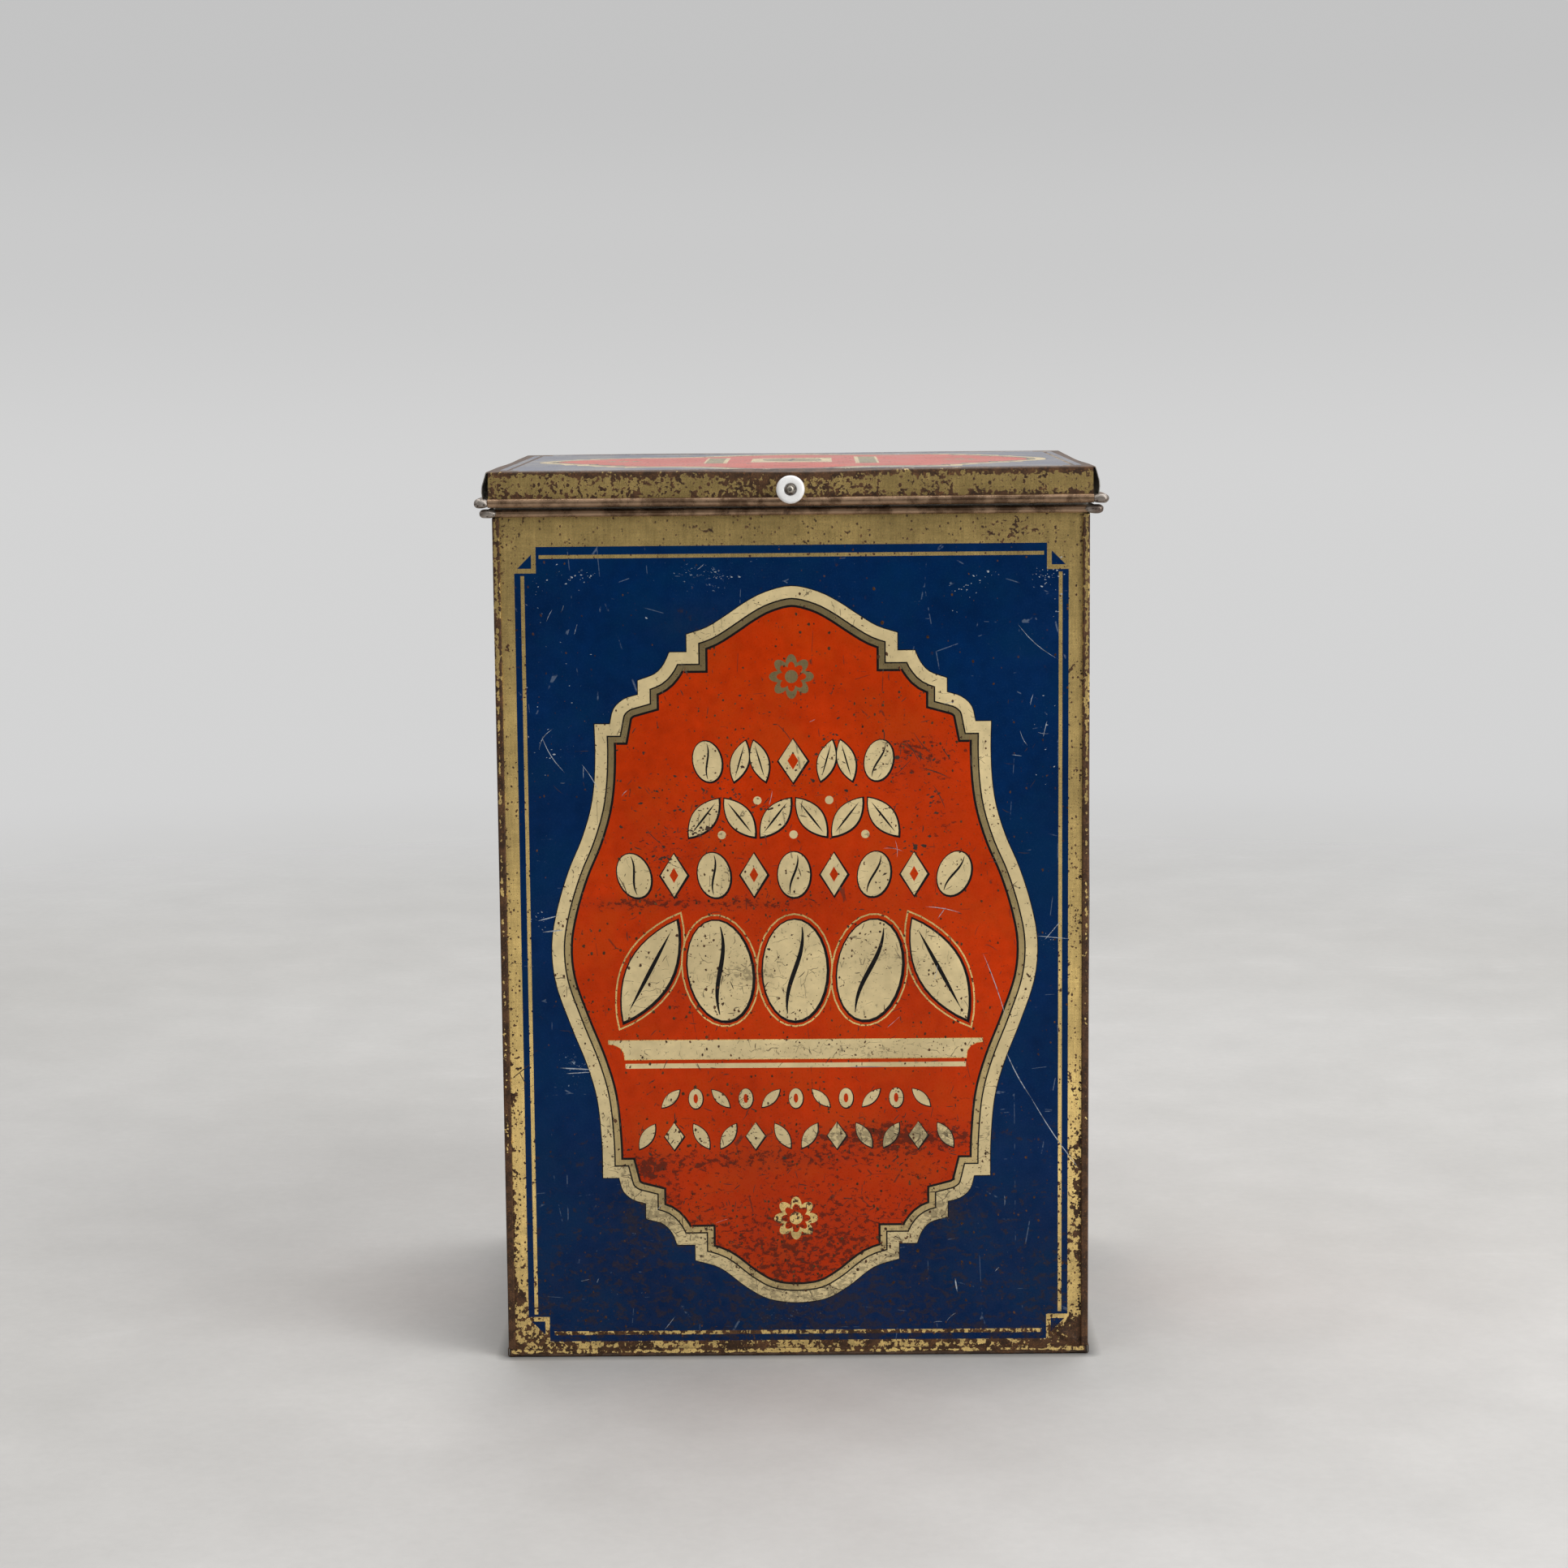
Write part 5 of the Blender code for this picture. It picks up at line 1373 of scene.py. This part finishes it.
def solder_lump(node, body, corner, seed):
    """A poured lump that swallows the ends of both rolled edges at a corner."""
    lo, hi = (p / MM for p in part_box(node))
    c = (lo + hi) / 2
    half = (hi - lo) / 2
    sx, sy = corner
    r = random.Random(seed)
    bm = bmesh.new()
    bmesh.ops.create_icosphere(bm, subdivisions=4, radius=1.0)
    phases = [(Vector((r.gauss(0, 1), r.gauss(0, 1), r.gauss(0, 1))).normalized(), r.uniform(1.2, 2.6), r.uniform(0, 6.28), r.uniform(0.012, 0.028)) for _ in range(5)]
    tip = Vector((sx * 0.8, sy * 0.5, r.uniform(-0.15, 0.25))).normalized()
    for vert in bm.verts:
        d = vert.co.normalized()
        bulge = 0.93 + sum(a * math.sin(k * d.dot(axis) * 2.0 + p) for axis, k, p, a in phases)
        bulge += 0.045 * max(0.0, d.dot(tip)) ** 6
        box = (abs(d.x) ** 2.6 + abs(d.y) ** 2.6 + abs(d.z) ** 2.6) ** (-1 / 2.6)
        span_x = 1.62 if sx * d.x < 0 else (0.97 if sx > 0 else 0.80)
        span_y = 1.62 if sy * d.y < 0 else 0.93
        q = Vector((d.x * half.x * span_x, d.y * half.y * span_y, d.z * half.z)) * min(1.0, bulge * box)
        vert.co = (c + q) * MM
    return smooth_object(node + "_lump", bm, MATS["solder"], body, "solder", node)


for tag, corner in (("front_left", (-1, -1)), ("front_right", (1, -1)), ("back_left", (-1, 1)), ("back_right", (1, 1))):
    seed = sum(ord(c) * (k + 3) for k, c in enumerate(tag))
    solder_lump(f"rim_solder_{tag}", "tin", corner, seed)
    solder_lump(f"lid_solder_{tag}", "lid", corner, seed + 7)

TILT_RAD = math.radians(TILT)
knob_lo, knob_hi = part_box("knob")
screw_lo, screw_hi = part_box("knob_screw")
KNOB_Z = 417.6
face_out = LID_OVER_TOP + FLARE * (LID_MID_Z - KNOB_Z) / FALL
KNOB_AT = Vector((0, -(HD + face_out), KNOB_Z)) * MM
KNOB_TURN = Matrix.Rotation(math.pi / 2 - TILT_RAD, 4, "X")


def turned(profile, segments, wobble=None):
    """A (radius, height) profile in mm turned about Z, closed at its poles."""
    bm = bmesh.new()
    rings = []
    for r, h in profile:
        if r < 1e-6:
            rings.append([bm.verts.new((0, 0, h * MM))])
            continue
        ring = []
        for k in range(segments):
            a = 2 * math.pi * k / segments
            q = r * (1 + (wobble(a, r, h) if wobble else 0))
            ring.append(bm.verts.new((q * math.cos(a) * MM, q * math.sin(a) * MM, h * MM)))
        rings.append(ring)
    loops = list(zip(rings, rings[1:]))
    if len(rings[0]) > 1:
        loops.append((rings[-1], rings[0]))
    for first, second in loops:
        for k in range(segments):
            m = (k + 1) % segments
            quad = []
            for vert in (first[k % len(first)], first[m % len(first)], second[m % len(second)], second[k % len(second)]):
                if vert not in quad:
                    quad.append(vert)
            if len(quad) > 2:
                bm.faces.new(quad)
    return bm


def seated(bm):
    bmesh.ops.transform(bm, matrix=Matrix.Translation(KNOB_AT) @ KNOB_TURN, verts=bm.verts)
    return bm


knob_line = [(3.1, 0.0), (3.2, 0.25), (3.2, 0.5), (3.0, 0.9), (2.85, 1.4), (2.76, 2.2), (2.75, 3.4), (2.82, 4.1), (3.1, 4.5), (3.7, 4.8)]
head = catmull([(3.7, 4.8), (5.2, 5.35), (6.15, 5.95), (6.52, 6.6), (6.6, 7.2), (6.5, 7.9), (6.15, 8.45), (5.5, 8.82), (4.4, 8.98), (3.3, 8.93), (2.9, 8.7), (2.78, 8.3), (2.75, 8.0)], 0.22)
knob_profile = [(1.35, 0.0)] + knob_line[:-1] + head + [(1.35, 8.0)]
knob_bm = turned([(r, h + 0.15) for r, h in knob_profile], 72, lambda a, r, h: 0.006 * math.sin(2 * a + 1) + 0.004 * math.sin(3 * a))
knob = smooth_object("knob_glazed", seated(knob_bm), MATS["porcelain"], "lid", "porcelain", "knob")
layer = knob.data.attributes.new("grime", "FLOAT", "POINT")
inverse = (Matrix.Translation(KNOB_AT) @ KNOB_TURN).inverted()
layer.data.foreach_set("value", [0.8 * float(smooth(3.2 - math.hypot(*(inverse @ v.co).xy) / MM, 0, 0.6)) for v in knob.data.vertices])

head_line = [(1.15, 8.8), (1.78, 9.2), (1.8, 9.45), (1.74, 9.75), (1.55, 10.1), (1.2, 10.4), (0.75, 10.54), (0.35, 10.54), (0, 10.55)]
screw_bm = turned([(0, -3.0), (0.8, -3.0), (1.12, -2.6), (1.15, 8.8)] + head_line[1:], 40, lambda a, r, h: 0.012 * math.sin(3 * a + h) if r > 1.2 else 0)
smooth_object("knob_screw_head", seated(screw_bm), MATS["steel"], "lid", "screw_steel", "knob_screw")


def serrations(a, r, h):
    return -0.085 * (0.5 + 0.5 * math.cos(13 * a)) * (1 + 0.5 * math.sin(3 * a + 1)) if r > 2.1 else 0.0


ring_bm = turned([(1.4, 8.3), (2.2, 8.3), (2.50, 8.42), (2.56, 8.70), (2.50, 9.05), (2.25, 9.26), (1.95, 9.26), (1.75, 9.1), (1.4, 8.95)], 144, serrations)
smooth_object("knob_ring", seated(ring_bm), MATS["solder"], "lid", "screw_steel", "knob_cup_washer")

# ------------------------------------------------------------------ carried-over frame nodes


def repaint(name, material, bevel=0.0, segments=2):
    obj = NODES[name]
    obj.data.materials.clear()
    obj.data.materials.append(material)
    if bevel:
        made = obj.modifiers.new("soft_edges", "BEVEL")
        made.width = bevel * MM
        made.segments = segments
        made.limit_method = "ANGLE"
        made.angle_limit = math.radians(50)


for name in NODES:
    if name.startswith(("rim_wire", "lid_wire")) or name.endswith("_pin"):
        repaint(name, MATS["wire"])
    elif name.endswith("_leaf"):
        repaint(name, MATS["tin"], 0.08)
    elif "rivet" in name:
        repaint(name, MATS["steel"])
    elif name in ("knob_nut", "knob_washer"):
        repaint(name, MATS["steel"], 0.1)

# the lid's thin top sags towards the neck strip, so the strip's hem is pressed down a little to clear it
mesh = NODES["inner_collar"].data.copy()
mesh.materials.clear()
mesh.materials.append(MATS["inside"])
for vertex in mesh.vertices:
    if vertex.co.z > 0.420:
        vertex.co.z -= 1.25 * MM
neck = bpy.data.objects.new("neck_strip", mesh)
bpy.context.scene.collection.objects.link(neck)
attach(neck, "tin")
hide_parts("inner_collar")

# ------------------------------------------------------------------ floor, light and camera


def floor_material():
    material = bpy.data.materials.new("pale_floor")
    t = Tree(material)
    p = t.coords()
    cloud, mottle, grit = t.noise(p, 1.7, 4, 0.55), t.noise(p, 14, 6, 0.65), t.noise(p, 160, 4, 0.7)
    colour = t.mix(t.step(cloud, 0.3, 0.7), (0.492, 0.483, 0.466), (0.540, 0.531, 0.517))
    colour = t.tone(colour, t.mul(t.remap(mottle, 0.3, 0.7, 0.955, 1.035), t.remap(grit, 0.3, 0.7, 0.97, 1.02)))
    scuff = t.cells(t.stretch(p, (1.4, 9, 1), (0, 0, 24)), 1.0, "DISTANCE_TO_EDGE")
    faint = t.mul(t.step(t.sub(0.012, scuff), -0.01, 0.01), t.step(mottle, 0.52, 0.62))
    colour = t.mix(t.mul(faint, 0.25), colour, (0.58, 0.57, 0.56))
    # painted contact shadow: the floor is darkened close round the tin's foot, strongly within a few mm and faintly out
    # to 10 cm
    axes = t.node("ShaderNodeSeparateXYZ")
    t.put(p, axes.inputs[0])
    dx = t.math("MAXIMUM", t.sub(t.math("ABSOLUTE", axes.outputs["X"]), HW * MM), 0.0)
    dy = t.math("MAXIMUM", t.sub(t.math("ABSOLUTE", axes.outputs["Y"]), HD * MM), 0.0)
    away = t.math("SQRT", t.add(t.mul(dx, dx), t.mul(dy, dy)))
    colour = t.tone(colour, t.mul(t.remap(away, 0.0, 0.007, 0.42, 1.0), t.remap(away, 0.0, 0.10, 0.95, 1.0)))
    # painted light: the floor is paler to the tin's left, near its foot
    left = t.mul(t.step(axes.outputs["X"], -HW * MM + 0.01, -HW * MM - 0.03), t.sub(1.0, t.step(away, 0.03, 0.20)))
    colour = t.tone(colour, t.add(1.0, t.mul(left, 0.17)))
    split = t.node("ShaderNodeVectorMath", operation="LENGTH")
    t.put(p, split.inputs[0])
    t.out(colour, t.remap(mottle, 0.3, 0.7, 0.62, 0.78), 0.0, t.bump(t.add(mottle, t.mul(grit, 0.2)), 0.2, 0.0006), 0.25)
    fade = t.sub(1.0, t.step(split.outputs["Value"], 0.95, 2.1))
    t.put(fade, t.shader.inputs["Alpha"])
    return material


bm = bmesh.new()
bmesh.ops.create_circle(bm, cap_ends=True, segments=96, radius=4.0)
mesh = bpy.data.meshes.new("floor")
bm.to_mesh(mesh)
bm.free()
mesh.materials.append(floor_material())
floor = bpy.data.objects.new("floor", mesh)
floor.location = (0, 0, -0.00005)
bpy.context.scene.collection.objects.link(floor)


def area_light(name, at, target, size, power, colour=(1, 1, 1)):
    lamp = bpy.data.lights.new(name, "AREA")
    lamp.shape = "RECTANGLE"
    lamp.size, lamp.size_y = size
    lamp.energy = power
    lamp.color = colour
    obj = bpy.data.objects.new(name, lamp)
    obj.visible_camera = False
    obj.location = at
    obj.rotation_euler = (Vector(target) - Vector(at)).to_track_quat("-Z", "Y").to_euler()
    bpy.context.scene.collection.objects.link(obj)
    return obj


area_light("key", (2.1, -1.7, 3.2), (0, 0, 0.15), (3.0, 2.4), 60)
area_light("side", (1.55, -1.15, 0.80), (0, -0.1, 0.24), (0.9, 0.9), 15)
area_light("fill", (-2.4, -1.9, 2.2), (0, 0, 0.2), (2.4, 2.0), 14)
area_light("top", (0.2, 1.0, 2.9), (0, 0.2, 0.1), (2.8, 1.8), 44)

world = bpy.data.worlds.new("studio")
bpy.context.scene.world = world
world.use_nodes = True
tree = world.node_tree
tree.nodes.clear()
direction = tree.nodes.new("ShaderNodeTexCoord")
split = tree.nodes.new("ShaderNodeSeparateXYZ")
tree.links.new(direction.outputs["Generated"], split.inputs[0])


def ramp(source, stops):
    made = tree.nodes.new("ShaderNodeValToRGB")
    made.color_ramp.interpolation = "EASE"
    while len(made.color_ramp.elements) < len(stops):
        made.color_ramp.elements.new(0.5)
    for element, (at, value) in zip(made.color_ramp.elements, stops):
        element.position = at
        element.color = (*value, 1.0) if hasattr(value, "__len__") else (value, value, value, 1.0)
    tree.links.new(source, made.inputs[0])
    return made.outputs[0]


def scaled(source, a, b):
    made = tree.nodes.new("ShaderNodeMapRange")
    made.inputs["From Min"].default_value, made.inputs["From Max"].default_value = a, b
    tree.links.new(source, made.inputs["Value"])
    return made.outputs[0]


# what the camera sees: an even pale backdrop, a little darker towards the top
seen = ramp(scaled(split.outputs["Z"], -0.25, 0.35), [(0.0, 0.600), (0.108, 0.625), (0.225, 0.655), (0.345, 0.655), (0.467, 0.590), (0.547, 0.550), (0.7, 0.53), (1.0, 0.51)])
# what lights the tin: pale behind and above, dim in front at eye level
height = scaled(split.outputs["Z"], -0.4, 1.0)
ahead = ramp(height, [(0.0, 0.40), (0.18, 0.28), (0.26, 0.10), (0.31, 0.055), (0.46, 0.12), (0.70, 0.42), (1.0, 0.62)])
beyond = ramp(height, [(0.0, 0.50), (0.28, 0.64), (0.50, 0.62), (1.0, 0.62)])
lit = tree.nodes.new("ShaderNodeMix")
lit.data_type = "RGBA"
tree.links.new(ramp(scaled(split.outputs["Y"], -0.15, 0.55), [(0.0, 0.0), (1.0, 1.0)]), lit.inputs["Factor"])
tree.links.new(ahead, [s for s in lit.inputs if s.name == "A" and s.type == "RGBA"][0])
tree.links.new(beyond, [s for s in lit.inputs if s.name == "B" and s.type == "RGBA"][0])
path = tree.nodes.new("ShaderNodeLightPath")
pick = tree.nodes.new("ShaderNodeMix")
pick.data_type = "RGBA"
tree.links.new(path.outputs["Is Camera Ray"], pick.inputs["Factor"])
tree.links.new([s for s in lit.outputs if s.type == "RGBA"][0], [s for s in pick.inputs if s.name == "A" and s.type == "RGBA"][0])
tree.links.new(seen, [s for s in pick.inputs if s.name == "B" and s.type == "RGBA"][0])
background = tree.nodes.new("ShaderNodeBackground")
background.inputs["Strength"].default_value = 1.0
tree.links.new([s for s in pick.outputs if s.type == "RGBA"][0], background.inputs["Color"])
output = tree.nodes.new("ShaderNodeOutputWorld")
tree.links.new(background.outputs[0], output.inputs[0])

bpy.context.scene.view_settings.view_transform = "Standard"
bpy.context.scene.view_settings.look = "None"

camera_data = bpy.data.cameras.new("camera")
camera_data.sensor_width = 36.0
camera_data.lens = 4126.8 / 1932 * 36.0
camera_data.clip_start, camera_data.clip_end = 0.05, 60
camera = bpy.data.objects.new("camera", camera_data)
pitch, yaw, roll = (math.radians(a) for a in (7.490, 0.515, 0.5265))
right = Vector((math.cos(yaw), math.sin(yaw), 0))
level = Vector((-math.sin(yaw), math.cos(yaw), 0))
forward = level * math.cos(pitch) - Vector((0, 0, 1)) * math.sin(pitch)
up = level * math.sin(pitch) + Vector((0, 0, 1)) * math.cos(pitch)
cam_x = right * math.cos(roll) - up * math.sin(roll)
cam_y = right * math.sin(roll) + up * math.cos(roll)
rotation = Matrix((cam_x, cam_y, -forward)).transposed().to_4x4()
camera.matrix_world = Matrix.Translation((0.0098, -1.6838, 0.4853)) @ rotation
bpy.context.scene.collection.objects.link(camera)
bpy.context.scene.camera = camera
